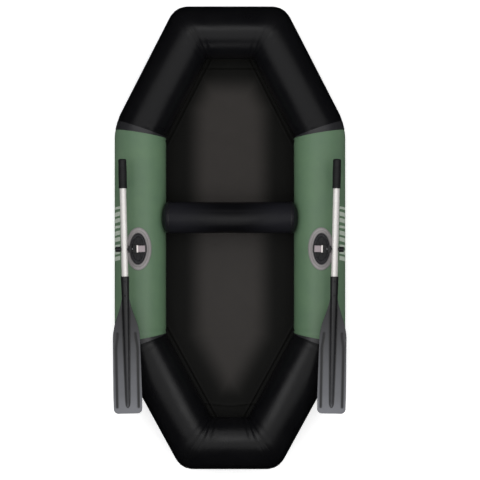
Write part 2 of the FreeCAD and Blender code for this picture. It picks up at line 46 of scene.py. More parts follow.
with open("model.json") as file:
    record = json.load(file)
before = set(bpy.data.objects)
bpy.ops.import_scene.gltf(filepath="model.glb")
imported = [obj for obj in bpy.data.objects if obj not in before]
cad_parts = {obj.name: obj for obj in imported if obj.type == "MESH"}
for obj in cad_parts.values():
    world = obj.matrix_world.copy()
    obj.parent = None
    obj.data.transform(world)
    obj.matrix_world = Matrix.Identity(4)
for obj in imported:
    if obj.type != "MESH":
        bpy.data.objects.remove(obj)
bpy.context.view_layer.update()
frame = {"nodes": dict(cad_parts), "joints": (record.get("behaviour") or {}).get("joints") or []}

import json
import math

import bmesh
import bpy
import numpy as np
from mathutils import Matrix, Vector

SIDES = {"port": -1.0, "starboard": 1.0}

# ---- the frame's own measures, in metres ----
SIDE_LOW, SIDE_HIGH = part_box("port_side_tube")
TUBE_RADIUS = (SIDE_HIGH.x - SIDE_LOW.x) / 2
SIDE_AXIS_X = -(SIDE_HIGH.x + SIDE_LOW.x) / 2
AXIS_Z = (SIDE_HIGH.z + SIDE_LOW.z) / 2
BOW_LOW, BOW_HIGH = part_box("bow_tube")
STERN_LOW, STERN_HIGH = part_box("stern_tube")
BOW_Y = (BOW_LOW.y + BOW_HIGH.y) / 2
STERN_Y = (STERN_LOW.y + STERN_HIGH.y) / 2
BOW_RISE = (BOW_LOW.z + BOW_HIGH.z) / 2 - AXIS_Z
STERN_RISE = (STERN_LOW.z + STERN_HIGH.z) / 2 - AXIS_Z
CROWN_Z = SIDE_HIGH.z

# Tube number i runs from corner i to the next one, and tape number i covers corner i.
TUBES = [
    "bow", "port_bow", "port_side", "port_stern",
    "stern", "starboard_stern", "starboard_side", "starboard_bow",
]
TAPES = [
    "bow_starboard_corner_tape",
    "bow_port_corner_tape",
    "port_front_seam_tape",
    "port_back_seam_tape",
    "stern_port_corner_tape",
    "stern_starboard_corner_tape",
    "starboard_back_seam_tape",
    "starboard_front_seam_tape",
]


# ---- sizes and colours that a user would change ----
class HullSizes(bpy.types.PropertyGroup):
    """Plan and skin of the ring of air tubes."""

    bow_half: bpy.props.FloatProperty(
        name="Bow half length", description="Half of the bow tube's axis", default=0.185, unit="LENGTH"
    )
    stern_half: bpy.props.FloatProperty(
        name="Stern half length", description="Half of the stern tube's axis", default=0.159, unit="LENGTH"
    )
    front_y: bpy.props.FloatProperty(
        name="Front joint", description="Where the side tubes meet the bow quarters", default=0.512,
        unit="LENGTH",
    )
    back_y: bpy.props.FloatProperty(
        name="Back joint", description="Where the side tubes meet the stern quarters", default=-0.489,
        unit="LENGTH",
    )
    nose_round: bpy.props.FloatProperty(
        name="Nose corner radius", description="Outer rounding of the four end corners", default=0.095,
        unit="LENGTH",
    )
    side_round: bpy.props.FloatProperty(
        name="Side corner radius", description="Outer rounding where side tubes meet quarters", default=0.270,
        unit="LENGTH",
    )
    skin: bpy.props.FloatProperty(
        name="Skin", description="Thickness of the coated fabric", default=0.001, unit="LENGTH"
    )
    pucker: bpy.props.FloatProperty(
        name="Pucker depth", description="Depth of the folds beside the joints", default=0.0016, unit="LENGTH"
    )
    side_colour: bpy.props.StringProperty(name="Side colour", description="sRGB hex", default="4a614c")
    end_colour: bpy.props.StringProperty(name="End colour", description="sRGB hex", default="08080a")
    tape_colour: bpy.props.StringProperty(name="Tape colour", description="sRGB hex", default="1c1c1e")
    floor_colour: bpy.props.StringProperty(name="Bottom colour", description="sRGB hex", default="292624")


class OarSizes(bpy.types.PropertyGroup):
    """Oars and oarlocks."""

    blade_width: bpy.props.FloatProperty(
        name="Blade width", description="Widest part of the blade", default=0.134, unit="LENGTH"
    )
    blade_web: bpy.props.FloatProperty(
        name="Blade thickness", description="Thickness of the blade's flat web", default=0.005, unit="LENGTH"
    )
    groove_depth: bpy.props.FloatProperty(
        name="Groove depth", description="Depth of the blade's side channels", default=0.0016, unit="LENGTH"
    )
    grip_rings: bpy.props.IntProperty(
        name="Grip rings", description="Rings moulded on each grip", default=9, min=1
    )
    blade_colour: bpy.props.StringProperty(name="Blade colour", description="sRGB hex", default="66676c")
    grip_colour: bpy.props.StringProperty(name="Grip colour", description="sRGB hex", default="121214")
    pad_colour: bpy.props.StringProperty(name="Oarlock pad colour", description="sRGB hex", default="837f7f")
    plastic_colour: bpy.props.StringProperty(name="Moulded black", description="sRGB hex", default="0f0f11")


class StageSizes(bpy.types.PropertyGroup):
    """Camera and studio light."""

    camera_height: bpy.props.FloatProperty(
        name="Camera height", description="Above the tubes' widest line", default=6.0, unit="LENGTH"
    )
    view_width: bpy.props.FloatProperty(
        name="View width", description="What the camera takes in at the tubes' widest line", default=2.304,
        unit="LENGTH",
    )
    aim_x: bpy.props.FloatProperty(name="Aim across", description="Camera's X", default=0.048, unit="LENGTH")
    aim_y: bpy.props.FloatProperty(name="Aim along", description="Camera's Y", default=-0.0085, unit="LENGTH")
    floor_colour: bpy.props.StringProperty(name="Studio floor", description="sRGB hex", default="f6f6f6")
    floor_glow: bpy.props.FloatProperty(
        name="Floor glow", description="Light that comes up through the studio floor", default=0.38, min=0.0
    )


# ---- meshes ----
def loops_mesh(name, loops, ring=False, smooth_angle=35.0):
    """A closed mesh through closed loops of equal length, with UV in metres.
    ring joins the last loop to the first; without it the ends are capped."""
    loops = np.asarray(loops, float)
    count, around, _ = loops.shape
    mesh = bpy.data.meshes.new(name)
    rows = [(i, (i + 1) % count) for i in range(count if ring else count - 1)]
    faces = []
    for low, high in rows:
        for j in range(around):
            k = (j + 1) % around
            faces.append((low * around + j, low * around + k, high * around + k, high * around + j))
    if not ring:
        faces.append(tuple(range(around))[::-1])
        faces.append(tuple((count - 1) * around + j for j in range(around)))
    mesh.from_pydata(loops.reshape(-1, 3).tolist(), [], faces)
    along = np.concatenate([[0], np.linalg.norm(np.diff(loops, axis=0), axis=2).max(1).cumsum()])
    middle = loops[count // 2]
    steps = np.linalg.norm(middle - np.roll(middle, 1, axis=0), axis=1)
    across = np.concatenate([[0], np.roll(steps, -1).cumsum()])
    uv = mesh.uv_layers.new(name="surface")
    values = np.zeros((len(mesh.loops), 2), np.float32)
    corner = 0
    for low, high in rows:
        top = along[high] if high > low else along[low]
        for j in range(around):
            values[corner:corner + 4] = (
                (across[j], along[low]), (across[j + 1], along[low]), (across[j + 1], top), (across[j], top)
            )
            corner += 4
    uv.data.foreach_set("uv", values.ravel())
    work = bmesh.new()
    work.from_mesh(mesh)
    bmesh.ops.recalc_face_normals(work, faces=work.faces)
    work.to_mesh(mesh)
    work.free()
    mesh.polygons.foreach_set("use_smooth", [True] * len(mesh.polygons))
    mesh.set_sharp_from_angle(angle=math.radians(smooth_angle))
    return mesh


def place(name, mesh, material, body, slot, *replaced):
    """Puts a finished mesh in the scene as a piece that rides on a body."""
    mesh.materials.clear()
    mesh.materials.append(material)
    piece = bpy.data.objects.new(name, mesh)
    bpy.context.scene.collection.objects.link(piece)
    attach(piece, body)
    if replaced:
        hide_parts(*replaced)
    return piece


def joint_named(name):
    return next(joint for joint in frame["joints"] if joint["name"] == name)


def baked(thing):
    """A plain mesh of an object as its modifiers leave it."""
    return bpy.data.meshes.new_from_object(thing.evaluated_get(bpy.context.evaluated_depsgraph_get()))


def shade_points(mesh, name, values):
    """Stores a number from 0 to 1 at each point, for a material to read."""
    attribute = mesh.attributes.new(name, "FLOAT", "POINT")
    attribute.data.foreach_set("value", np.asarray(values, np.float32))


def smooth_step(value, low, high):
    t = np.clip((value - low) / (high - low), 0, 1)
    return t * t * (3 - 2 * t)


def bell(value, width):
    return np.exp(-(value / width) ** 2)


def ripple(position, seed, waves=7, low=1.0, high=4.0):
    """A smooth repeatable wave of mixed lengths, from -1 to 1."""
    random = np.random.default_rng(seed)
    total = np.zeros_like(np.asarray(position, float))
    for _ in range(waves):
        total += np.sin(np.asarray(position) * random.uniform(low, high) + random.uniform(0, 2 * math.pi))
    return total / waves


# ---- materials ----
def linear(hex_colour):
    """An sRGB hex colour as linear red, green, blue and alpha."""
    channels = [int(hex_colour[i:i + 2], 16) / 255 for i in (0, 2, 4)]
    return (*(c / 12.92 if c <= 0.04045 else ((c + 0.055) / 1.055) ** 2.4 for c in channels), 1.0)


def add(tree, kind, settings=None, values=None, links=None):
    """Adds a node, with its settings, its sockets' values and the sockets that feed it."""
    node = tree.nodes.new(kind)
    for key, value in (settings or {}).items():
        setattr(node, key, value)
    for key, value in (values or {}).items():
        node.inputs[key].default_value = value
    for key, source in (links or {}).items():
        tree.links.new(source, node.inputs[key])
    return node


def new_material(name, colour, roughness, specular=0.5, metallic=0.0, **sockets):
    """A material with its shader and output, and the tree to add patterns to."""
    material = bpy.data.materials.new(name)
    material.use_nodes = True
    tree = material.node_tree
    tree.nodes.clear()
    values = {"Base Color": linear(colour), "Roughness": roughness, "Metallic": metallic}
    values["Specular IOR Level"] = specular
    values.update({key.replace("_", " "): value for key, value in sockets.items()})
    shader = add(tree, "ShaderNodeBsdfPrincipled", values=values)
    add(tree, "ShaderNodeOutputMaterial", links={"Surface": shader.outputs["BSDF"]})
    return material, tree, shader


def vary(tree, shader, place_on, scale, colour, lighter, rough, rougher):
    """Cloudy variation of colour and roughness, scale being patches per metre."""
    values = {"Scale": scale, "Detail": 4.0, "Roughness": 0.6}
    noise = add(tree, "ShaderNodeTexNoise", values=values, links={"Vector": place_on})
    tint = add(tree, "ShaderNodeValToRGB", links={"Fac": noise.outputs["Fac"]})
    tint.color_ramp.elements[0].position = 0.3
    tint.color_ramp.elements[1].position = 0.75
    tint.color_ramp.elements[0].color = linear(colour)
    tint.color_ramp.elements[1].color = linear(lighter)
    tree.links.new(tint.outputs["Color"], shader.inputs["Base Color"])
    values = {"From Min": 0.3, "From Max": 0.7, "To Min": rough, "To Max": rougher}
    band = add(tree, "ShaderNodeMapRange", values=values, links={"Value": noise.outputs["Fac"]})
    tree.links.new(band.outputs["Result"], shader.inputs["Roughness"])
    return noise


def coated_fabric(name, colour, lighter, rough, rougher, specular, thread=0.0022, ply=0.25):
    """PVC-coated polyester, calendered: a soft sheen over a woven scrim that prints faintly through the coat.
    Such threads are typically 1 mm apart, and are drawn about twice as coarse so that they show."""
    material, tree, shader = new_material(name, colour, rough, specular)
    spot = add(tree, "ShaderNodeTexCoord")
    surface = spot.outputs["UV"]
    vary(tree, shader, spot.outputs["Object"], 9.0, colour, lighter, rough, rougher)
    threads = []
    for direction in ("X", "Y"):
        threads.append(add(
            tree, "ShaderNodeTexWave", {"wave_type": "BANDS", "bands_direction": direction},
            {"Scale": 1 / (math.pi * thread), "Distortion": 0.4, "Detail": 1.0}, {"Vector": surface},
        ).outputs["Fac"])
    scrim = add(tree, "ShaderNodeMath", {"operation": "MULTIPLY"}, links={0: threads[0], 1: threads[1]})
    values = {"Scale": 5.0, "Detail": 5.0, "Roughness": 0.55, "Distortion": 0.6}
    folds = add(tree, "ShaderNodeTexNoise", values=values, links={"Vector": spot.outputs["Object"]})
    values = {"Strength": 0.5, "Distance": 0.004}
    fold_bump = add(tree, "ShaderNodeBump", values=values, links={"Height": folds.outputs["Fac"]})
    bump = add(
        tree, "ShaderNodeBump", values={"Strength": ply, "Distance": 0.0002},
        links={"Height": scrim.outputs[0], "Normal": fold_bump.outputs["Normal"]},
    )
    tree.links.new(bump.outputs["Normal"], shader.inputs["Normal"])
    return material


def shade_by(material, name, dark, light, dark_rough, light_rough):
    """Carries colour and roughness from dark to light along a number stored at the mesh's points."""
    tree = material.node_tree
    shader = next(node for node in tree.nodes if node.type == "BSDF_PRINCIPLED")
    stored = add(tree, "ShaderNodeAttribute", {"attribute_name": name}).outputs["Fac"]
    noise = next(node for node in tree.nodes if node.type == "TEX_NOISE")
    values = {"From Min": 0.0, "From Max": 1.0, "To Min": 0.88, "To Max": 1.12}
    cloud = add(tree, "ShaderNodeMapRange", values=values, links={"Value": noise.outputs["Fac"]})
    values = {"Color1": linear(dark), "Color2": linear(light)}
    colour = add(tree, "ShaderNodeMixRGB", values=values, links={"Fac": stored})
    links = {0: colour.outputs["Color"], "Scale": cloud.outputs["Result"]}
    uneven = add(tree, "ShaderNodeVectorMath", {"operation": "SCALE"}, links=links)
    values = {"To Min": dark_rough, "To Max": light_rough}
    rough = add(tree, "ShaderNodeMapRange", values=values, links={"Value": stored})
    tree.links.new(uneven.outputs["Vector"], shader.inputs["Base Color"])
    tree.links.new(rough.outputs["Result"], shader.inputs["Roughness"])
    return material


def moulded_plastic(name, colour, lighter, rough, rougher, specular=0.5, grain=0.0015):
    """Injection-moulded plastic or rubber: a fine grain that breaks the highlight, and cloudy scuffs.
    Such grain is typically about 0.2 mm, and is drawn coarser so that it shows."""
    material, tree, shader = new_material(name, colour, rough, specular)
    spot = add(tree, "ShaderNodeTexCoord").outputs["Object"]
    vary(tree, shader, spot, 30.0, colour, lighter, rough, rougher)
    pits = add(tree, "ShaderNodeTexNoise", values={"Scale": 1 / grain, "Detail": 2.0}, links={"Vector": spot})
    values = {"Strength": 0.25, "Distance": 0.0001}
    bump = add(tree, "ShaderNodeBump", values=values, links={"Height": pits.outputs["Fac"]})
    tree.links.new(bump.outputs["Normal"], shader.inputs["Normal"])
    return material


def drawn_metal(name, colour, rough, rougher, metallic=1.0, specular=0.5, scratch=0.004):
    """Metal tube or rod, drawn and then anodised or polished: a sheen streaked by fine lines along Y.
    Such lines are typically under 0.1 mm apart, and are drawn coarser so that they show."""
    material, tree, shader = new_material(name, colour, rough, specular, metallic)
    spot = add(tree, "ShaderNodeTexCoord").outputs["Object"]
    values = {"Scale": (1 / scratch, 3.0, 1 / scratch)}
    stretch = add(tree, "ShaderNodeMapping", values=values, links={"Vector": spot})
    values = {"Scale": 1.0, "Detail": 3.0, "Roughness": 0.7}
    lines = add(tree, "ShaderNodeTexNoise", values=values, links={"Vector": stretch.outputs["Vector"]})
    values = {"From Min": 0.3, "From Max": 0.7, "To Min": rough, "To Max": rougher}
    band = add(tree, "ShaderNodeMapRange", values=values, links={"Value": lines.outputs["Fac"]})
    tree.links.new(band.outputs["Result"], shader.inputs["Roughness"])
    values = {"Strength": 0.2, "Distance": 0.00005}
    bump = add(tree, "ShaderNodeBump", values=values, links={"Height": lines.outputs["Fac"]})
    tree.links.new(bump.outputs["Normal"], shader.inputs["Normal"])
    return material


def finish_named(name):
    """The finish of that name, made on first use."""
    found = bpy.data.materials.get(name)
    if found:
        return found
    hull = bpy.context.scene.dinghy_hull
    oar = bpy.context.scene.dinghy_oars
    makers = {
        # Green calendered PVC on polyester, for the side tubes: matt, with a broad dull sheen.
        "green_coated_pvc": lambda: coated_fabric(name, hull.side_colour, "50684f", 0.40, 0.50, 0.32),
        # Black calendered PVC, for the bow and stern: smoother, so its sheen is tighter.
        "black_coated_pvc": lambda: coated_fabric(name, hull.end_colour, "0b0b0d", 0.27, 0.36, 0.22),
        # The same PVC on the seat, a little paler towards its ends: a painted reflection of the green tubes
        # and the light.
        "seat_coated_pvc": lambda: shade_by(
            coated_fabric(name, "09090b", "0c0c0e", 0.30, 0.40, 0.12),
            "end_reflection", "09090b", "151519", 0.32, 0.38,
        ),
        # A hot-welded band on the seat, pressed flat and slightly paler than the cloth beside it.
        "welded_seat_band": lambda: coated_fabric(name, "121214", "17171a", 0.32, 0.40, 0.18),
        # Dark grey PVC tape, welded over the joints of green and black: it reflects more than either.
        "welded_seam_tape": lambda: coated_fabric(name, hull.tape_colour, "222225", 0.34, 0.45, 0.5),
        # Heavy bottom PVC, flat: painted light makes it paler in the open, and painted shade makes it dark
        # beside the tubes, where it is also duller.
        "bottom_coated_pvc": lambda: shade_by(
            coated_fabric(name, hull.floor_colour, "302c2a", 0.48, 0.6, 0.14),
            "painted_floor_light", "080806", hull.floor_colour, 0.60, 0.45,
        ),
        # Moulded glass-filled nylon: near black, with a satin highlight.
        "moulded_black_nylon": lambda: moulded_plastic(name, oar.plastic_colour, "17171a", 0.26, 0.38, 0.35),
        # The same nylon from a polished mould, so that the socket's ribs catch a tighter highlight.
        "ribbed_black_nylon": lambda: moulded_plastic(name, "0c0c11", "16161c", 0.16, 0.26, 0.3),
        # Moulded acetal, a dull pinkish grey with a satin face; on the swivel's arm it is a painted
        # reflection of the light.
        "pale_acetal": lambda: moulded_plastic(name, "7d7276", "877c80", 0.3, 0.4),
        # Moulded polypropylene: grey and lighter towards the tip, near black on its spine, and near black in
        # its channels and the rim's groove from painted shade.
        "grey_blade_polypropylene": lambda: shade_by(
            moulded_plastic(name, oar.blade_colour, "424346", 0.34, 0.46),
            "tip_tone_and_groove_shade", "0d0d0f", oar.blade_colour, 0.42, 0.34,
        ),
        # Soft moulded rubber: black and matt.
        "soft_grip_rubber": lambda: moulded_plastic(name, oar.grip_colour, "18181a", 0.5, 0.62, 0.35),
        # Moulded collar, a dark mauve grey, between the black socket and the grey pad.
        "mauve_grey_plastic": lambda: moulded_plastic(name, "1c1b1f", "262428", 0.26, 0.36),
        # White acetal from a smooth mould, bright with a small highlight: it paints the highlight where the
        # swivel's arm begins to slope.
        "highlight_white_acetal": lambda: moulded_plastic(name, "c9c2c0", "d4cecb", 0.25, 0.35),
        # Moulded pad rubber with painted light: pale on its crest, and painted shade on the slope to the
        # socket.
        "grey_pad_rubber": lambda: shade_by(
            moulded_plastic(name, oar.pad_colour, "8a8886", 0.36, 0.50, 0.5),
            "painted_pad_light", "2e2c30", oar.pad_colour, 0.5, 0.4,
        ),
        # Drawn aluminium tube under a matt clear anodised layer, which takes the edge off its metal look.
        "anodised_aluminium": lambda: drawn_metal(name, "e6e3e0", 0.42, 0.55, 0.55),
        # Drawn and polished stainless steel: bright, with fine streaks.
        "polished_steel": lambda: drawn_metal(name, "b4b5b8", 0.16, 0.28),
        # Screen-printed pale ink: matt, a little uneven.
        "printed_pale_ink": lambda: moulded_plastic(name, "8d978b", "98a195", 0.5, 0.6, 0.3),
    }
    return makers[name]()


# ---- the hull's surface ----
def corners():
    """The eight corners of the tubes' axes in plan, from the bow's starboard end round by port."""
    hull = bpy.context.scene.dinghy_hull
    return np.array([
        (hull.bow_half, BOW_Y), (-hull.bow_half, BOW_Y),
        (-SIDE_AXIS_X, hull.front_y), (-SIDE_AXIS_X, hull.back_y),
        (-hull.stern_half, STERN_Y), (hull.stern_half, STERN_Y),
        (SIDE_AXIS_X, hull.back_y), (SIDE_AXIS_X, hull.front_y),
    ])


def axis_height(y):
    """Height of the tubes' axes: level along the sides, rising to both ends."""
    hull = bpy.context.scene.dinghy_hull
    bow = np.clip((y - hull.front_y) / (BOW_Y - hull.front_y), 0, 1) * BOW_RISE
    stern = np.clip((hull.back_y - y) / (hull.back_y - STERN_Y), 0, 1) * STERN_RISE
    return AXIS_Z + bow + stern


class Corner:
    """One corner of the ring: each line along the skin turns on an arc, tight inboard and wide outboard."""

    def __init__(self, index):
        hull = bpy.context.scene.dinghy_hull
        points = corners()
        here, before, after = points[index], points[index - 1], points[(index + 1) % 8]
        self.arrive = (here - before) / np.linalg.norm(here - before)
        self.leave = (after - here) / np.linalg.norm(after - here)
        self.here = here
        cross = self.arrive[0] * self.leave[1] - self.arrive[1] * self.leave[0]
        self.turn = math.atan2(cross, float(self.arrive @ self.leave))
        outward = np.array([self.arrive[1], -self.arrive[0]]) + np.array([self.leave[1], -self.leave[0]])
        self.outward = outward / np.linalg.norm(outward)
        end_corner = index in (0, 1, 4, 5)
        self.outer = hull.nose_round if end_corner else hull.side_round
        self.inner = 0.010 if end_corner else 0.024
        self.is_end = end_corner

    def radius(self, offset):
        share = (offset + TUBE_RADIUS) / (2 * TUBE_RADIUS)
        return self.inner + (self.outer - self.inner) * share

    def point(self, angle, offset):
        """Plan point at an angle from the joint's plane, offset outboard of the axis; arrays broadcast."""
        half = math.cos(self.turn / 2)
        radius = self.radius(offset)
        centre = self.here + self.outward * ((offset - radius) / half)[..., None]
        c, s = np.cos(angle), np.sin(angle)
        out_x, out_y = self.outward
        way = np.stack([out_x * c - out_y * s, out_x * s + out_y * c], -1)
        return centre + way * radius[..., None]


def skin_loops(index, around, lift=0.0):
    """Loops round tube number index, from the joint at its first corner to the joint at its second."""
    hull = bpy.context.scene.dinghy_hull
    first, second = Corner(index), Corner((index + 1) % 8)
    phi = np.linspace(0, 2 * math.pi, around, endpoint=False)
    radius = TUBE_RADIUS + lift
    offset = radius * np.cos(phi)
    zero = np.zeros(1)
    plans, axes = [], []
    arc_steps = 8
    for step in range(arc_steps + 1):
        angle = first.turn / 2 * step / arc_steps
        plans.append(first.point(angle, offset))
        axes.append(first.point(angle, zero)[0])
    start, start_axis = plans[-1], axes[-1]
    ends, end_axes = [], []
    for step in range(arc_steps + 1):
        angle = -second.turn / 2 * (1 - step / arc_steps)
        ends.append(second.point(angle, offset))
        end_axes.append(second.point(angle, zero)[0])
    length = np.linalg.norm(end_axes[0] - start_axis)
    steps = max(8, int(length / 0.009))
    for step in range(1, steps):
        share = step / steps
        plans.append(start * (1 - share) + ends[0] * share)
        axes.append(start_axis * (1 - share) + end_axes[0] * share)
    plans += ends
    axes += end_axes
    plans, axes = np.array(plans), np.array(axes)
    walked = np.concatenate([[0], np.linalg.norm(np.diff(axes, axis=0), axis=1).cumsum()])
    total = walked[-1]
    height = axis_height(axes[:, 1])[:, None] + radius * np.sin(phi)[None, :]
    dent = np.zeros((len(walked), around))
    for corner, gap, seed in (first, walked, index * 2), (second, total - walked, index * 2 + 1):
        dent += puckers(gap[:, None], phi[None, :], corner, seed, hull.pucker)
    sway = (plans - axes[:, None, :]) / radius
    rise = height + np.sin(phi)[None, :] * dent
    loops = np.concatenate([plans + sway * dent[..., None], rise[..., None]], axis=2)
    return loops


# The folds beside a joint: height as a share of the depth, distance from the joint, and width.
FOLDS = ((1.2, 0.030, 0.008), (-1.4, 0.045, 0.010), (0.7, 0.062, 0.012))


def puckers(gap, phi, corner, seed, depth):
    """How far the skin stands in or out near a joint: the weld pulls it in, and it folds inboard."""
    inboard = ((1 - np.cos(phi)) / 2) ** 2
    underside = smooth_step(np.sin(phi), -0.85, -0.4)
    side = inboard * underside
    pull = -1.3 * bell(gap, 0.016)
    folds = sum(height * bell(gap - away, width) for height, away, width in FOLDS)
    gathers = 0.14 * ripple(phi * 9, seed + 11) * bell(gap, 0.045) * (0.35 + side) * underside
    strength = 0.9 if corner.is_end else 1.0
    return depth * strength * (pull + side * folds + gathers)


def tape_loops(index, half_width, lift, thickness, around=120):
    """Cross-sections of the band over a corner's joint, round the tube and clear of the bottom."""
    hull = bpy.context.scene.dinghy_hull
    corner = Corner(index)
    middle_radius = (corner.inner + corner.outer) / 2
    low = -math.pi / 2
    phi = np.linspace(low + 0.30, low + 2 * math.pi - 0.30, around)
    across = np.linspace(-half_width, half_width, 9)
    edge = np.sqrt(np.clip(1 - (np.abs(across) / half_width) ** 6, 0, 1))
    loops = []
    for angle_round in phi:
        upper, lower = [], []
        for s, rounding in zip(across, edge):
            dent = float(puckers(np.array(abs(s)), np.array(angle_round), corner, index * 2, hull.pucker))
            for rows, level in (upper, lift + thickness * (0.35 + 0.65 * rounding)), (lower, lift):
                radius = TUBE_RADIUS + level
                offset = np.array([radius * math.cos(angle_round)])
                plan = corner.point(s / middle_radius, offset)[0]
                axis = corner.point(s / middle_radius, np.zeros(1))[0]
                sway = (plan - axis) / radius
                plan = plan + sway * dent
                z = axis_height(axis[1]) + (radius + dent) * math.sin(angle_round)
                rows.append((plan[0], plan[1], z))
        loops.append(upper + lower[::-1])
    return loops


class DINGHY_OT_air_tubes(bpy.types.Operator):
    """Make the eight panels of the ring of air tubes"""

    bl_idname = "dinghy.air_tubes"
    bl_label = "Air tubes"

    def execute(self, context):
        hull = context.scene.dinghy_hull
        around = 112
        for index, name in enumerate(TUBES):
            outer = skin_loops(index, around)
            inner = skin_loops(index, around, -hull.skin)
            mesh = loops_mesh(f"{name}_panel", np.concatenate([outer, inner[::-1]]), ring=True)
            colour = "green" if "side" in name else "black"
            finish = finish_named(f"{colour}_coated_pvc")
            panel = place(f"{name}_panel", mesh, finish, "hull", f"{colour}_pvc", f"{name}_tube")
        return {"FINISHED"}


class DINGHY_OT_seam_tapes(bpy.types.Operator):
    """Make the welded bands over the joints between the panels"""

    bl_idname = "dinghy.seam_tapes"
    bl_label = "Seam tapes"

    def execute(self, context):
        for index, name in enumerate(TAPES):
            seam = "seam" in name
            loops = tape_loops(index, half_width=0.012, lift=0.0002, thickness=0.0014)
            mesh = loops_mesh(f"{name}_band", loops)
            finish = finish_named("welded_seam_tape" if seam else "black_coated_pvc")
            place(f"{name}_band", mesh, finish, "hull", "seam_tape_pvc" if seam else "black_pvc", name)
        return {"FINISHED"}


# ---- bottom ----
def tube_sides():
    """For each tube, a point on its axis in plan and the direction outboard of it."""
    points = corners()
    sides = []
    for index in range(8):
        here, after = points[index], points[(index + 1) % 8]
        way = (after - here) / np.linalg.norm(after - here)
        sides.append((here, np.array([way[1], -way[0]])))
    return sides


def edge_distance(x, y):
    """Distances inboard of each tube's axis in plan, one per tube."""
    return np.array([(here[0] - x) * out[0] + (here[1] - y) * out[1] for here, out in tube_sides()])


def bottom_level(x, y, under=False):
    """Height of the bottom's upper face: flat panels, a slight swell in the open, and creases by the tubes.
    The under face follows the swell, lower than the deepest crease."""
    hull = bpy.context.scene.dinghy_hull
    depth = TUBE_RADIUS + 0.0001
    bow_slope = math.atan2(BOW_RISE, BOW_Y - hull.front_y)
    stern_slope = math.atan2(STERN_RISE, hull.back_y - STERN_Y)
    level = np.full_like(x, AXIS_Z - depth)
    for slope, beyond in (bow_slope, y - hull.front_y), (stern_slope, hull.back_y - y):
        level = np.maximum(level, AXIS_Z + beyond * math.tan(slope) - depth / math.cos(slope))
    gaps = edge_distance(x, y)
    nearest = gaps.min(0)
    swell = 0.004 * smooth_step(nearest, 0.07, 0.26)
    swell = swell + 0.0016 * ripple(x * 9 + y * 4, 5) * smooth_step(nearest, 0.08, 0.2)
    if under:
        return level + np.maximum(swell - 0.0016, 0)
    # Each crease is a height and a bell about its distance from a tube's axis: bow, stern, then quarters.
    crease = 0.0022 * bell(gaps[0] - 0.158, 0.004) - 0.0016 * bell(gaps[0] - 0.148, 0.006)
    crease += 0.0022 * bell(gaps[4] - 0.172 + 0.010 * bell(x, 0.07), 0.004)
    for index in (1, 3, 5, 7):
        crease += 0.0018 * bell(gaps[index] - 0.136, 0.004) - 0.0012 * bell(gaps[index] - 0.127, 0.005)
    return level + np.maximum(swell + crease * smooth_step(nearest, 0.09, 0.12), 0)


class DINGHY_OT_bottom(bpy.types.Operator):
    """Make the sheet bottom"""

    bl_idname = "dinghy.bottom"
    bl_label = "Bottom"

    def execute(self, context):
        low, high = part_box("floor_sheet")
        thickness = 0.0012
        overlap = 0.025
        sides = [(here, out) for here, out in tube_sides() if out[0] > 1e-6]
        rows = np.linspace(low.y + 0.0005, high.y - 0.0005, 400)
        across = np.linspace(-1, 1, 200)
        across_under = np.linspace(1, -1, 24)
        loops = []
        for y in rows:
            half = min(((here @ out) + overlap - out[1] * y) / out[0] for here, out in sides)
            x, x_under = across * half, across_under * half
            top = bottom_level(x, np.full_like(x, y))
            upper = np.stack([x, np.full_like(x, y), top], 1)
            base = bottom_level(x_under, np.full_like(x_under, y), under=True)
            lower = np.stack([x_under, np.full_like(x_under, y), base - thickness], 1)
            loops.append(np.concatenate([upper, lower]))
        mesh = loops_mesh("bottom_sheet", loops)
        spots = np.array(loops).reshape(-1, 3)
        # How much nearer to each tube the painted light of the open floor comes, in the order of TUBES;
        # nearer the tubes lies painted shade.
        nearness = np.array([0.030, 0.085, 0.0, 0.025, 0.010, 0.025, 0.0, 0.085])
        inset = (edge_distance(spots[:, 0], spots[:, 1]) + nearness[:, None]).min(0) - TUBE_RADIUS
        shade_points(mesh, "painted_floor_light", smooth_step(inset, 0.080, 0.205))
        finish = finish_named("bottom_coated_pvc")
        sheet = place("bottom_sheet", mesh, finish, "hull", "floor_pvc", "floor_sheet")
        return {"FINISHED"}


# ---- seat ----
def inflated(mesh, voxel, most):
    """Blows a closed skin up as cloth, lets no point move further than most, and rounds it off."""
    rest = bpy.data.objects.new(f"{mesh.name}_skin", mesh)
    bpy.context.scene.collection.objects.link(rest)
    remesh = rest.modifiers.new("even_mesh", "REMESH")
    remesh.mode = "VOXEL"
    remesh.voxel_size = voxel
    remesh.use_smooth_shade = True
    even = baked(rest)
    rest.modifiers.clear()
    rest.data = even
    before = np.array([v.co for v in even.vertices])
    cloth = rest.modifiers.new("air", "CLOTH")
    settings = cloth.settings
    settings.quality = 5
    settings.mass = 0.3
    settings.tension_stiffness = 40
    settings.compression_stiffness = 40
    settings.shear_stiffness = 20
    settings.bending_stiffness = 0.6
    settings.use_pressure = True
    settings.uniform_pressure_force = 4.0
    settings.effector_weights.gravity = 0.0
    for frame_number in range(1, 21):
        bpy.context.scene.frame_set(frame_number)
    blown = baked(rest)
    rest.modifiers.clear()
    after = np.array([v.co for v in blown.vertices])
    move = after - before
    size = np.linalg.norm(move, axis=1)[:, None]
    after = before + move * np.minimum(1, most / np.maximum(size, 1e-9))
    blown.vertices.foreach_set("co", after.astype(np.float32).ravel())
    blown.update()
    rest.data = blown
    rounded = rest.modifiers.new("rounded", "SUBSURF")
    rounded.levels = 1
    rounded.render_levels = 1
    final = baked(rest)
    bpy.data.objects.remove(rest)
    final.name = mesh.name
    bpy.context.scene.frame_set(1)
    return final


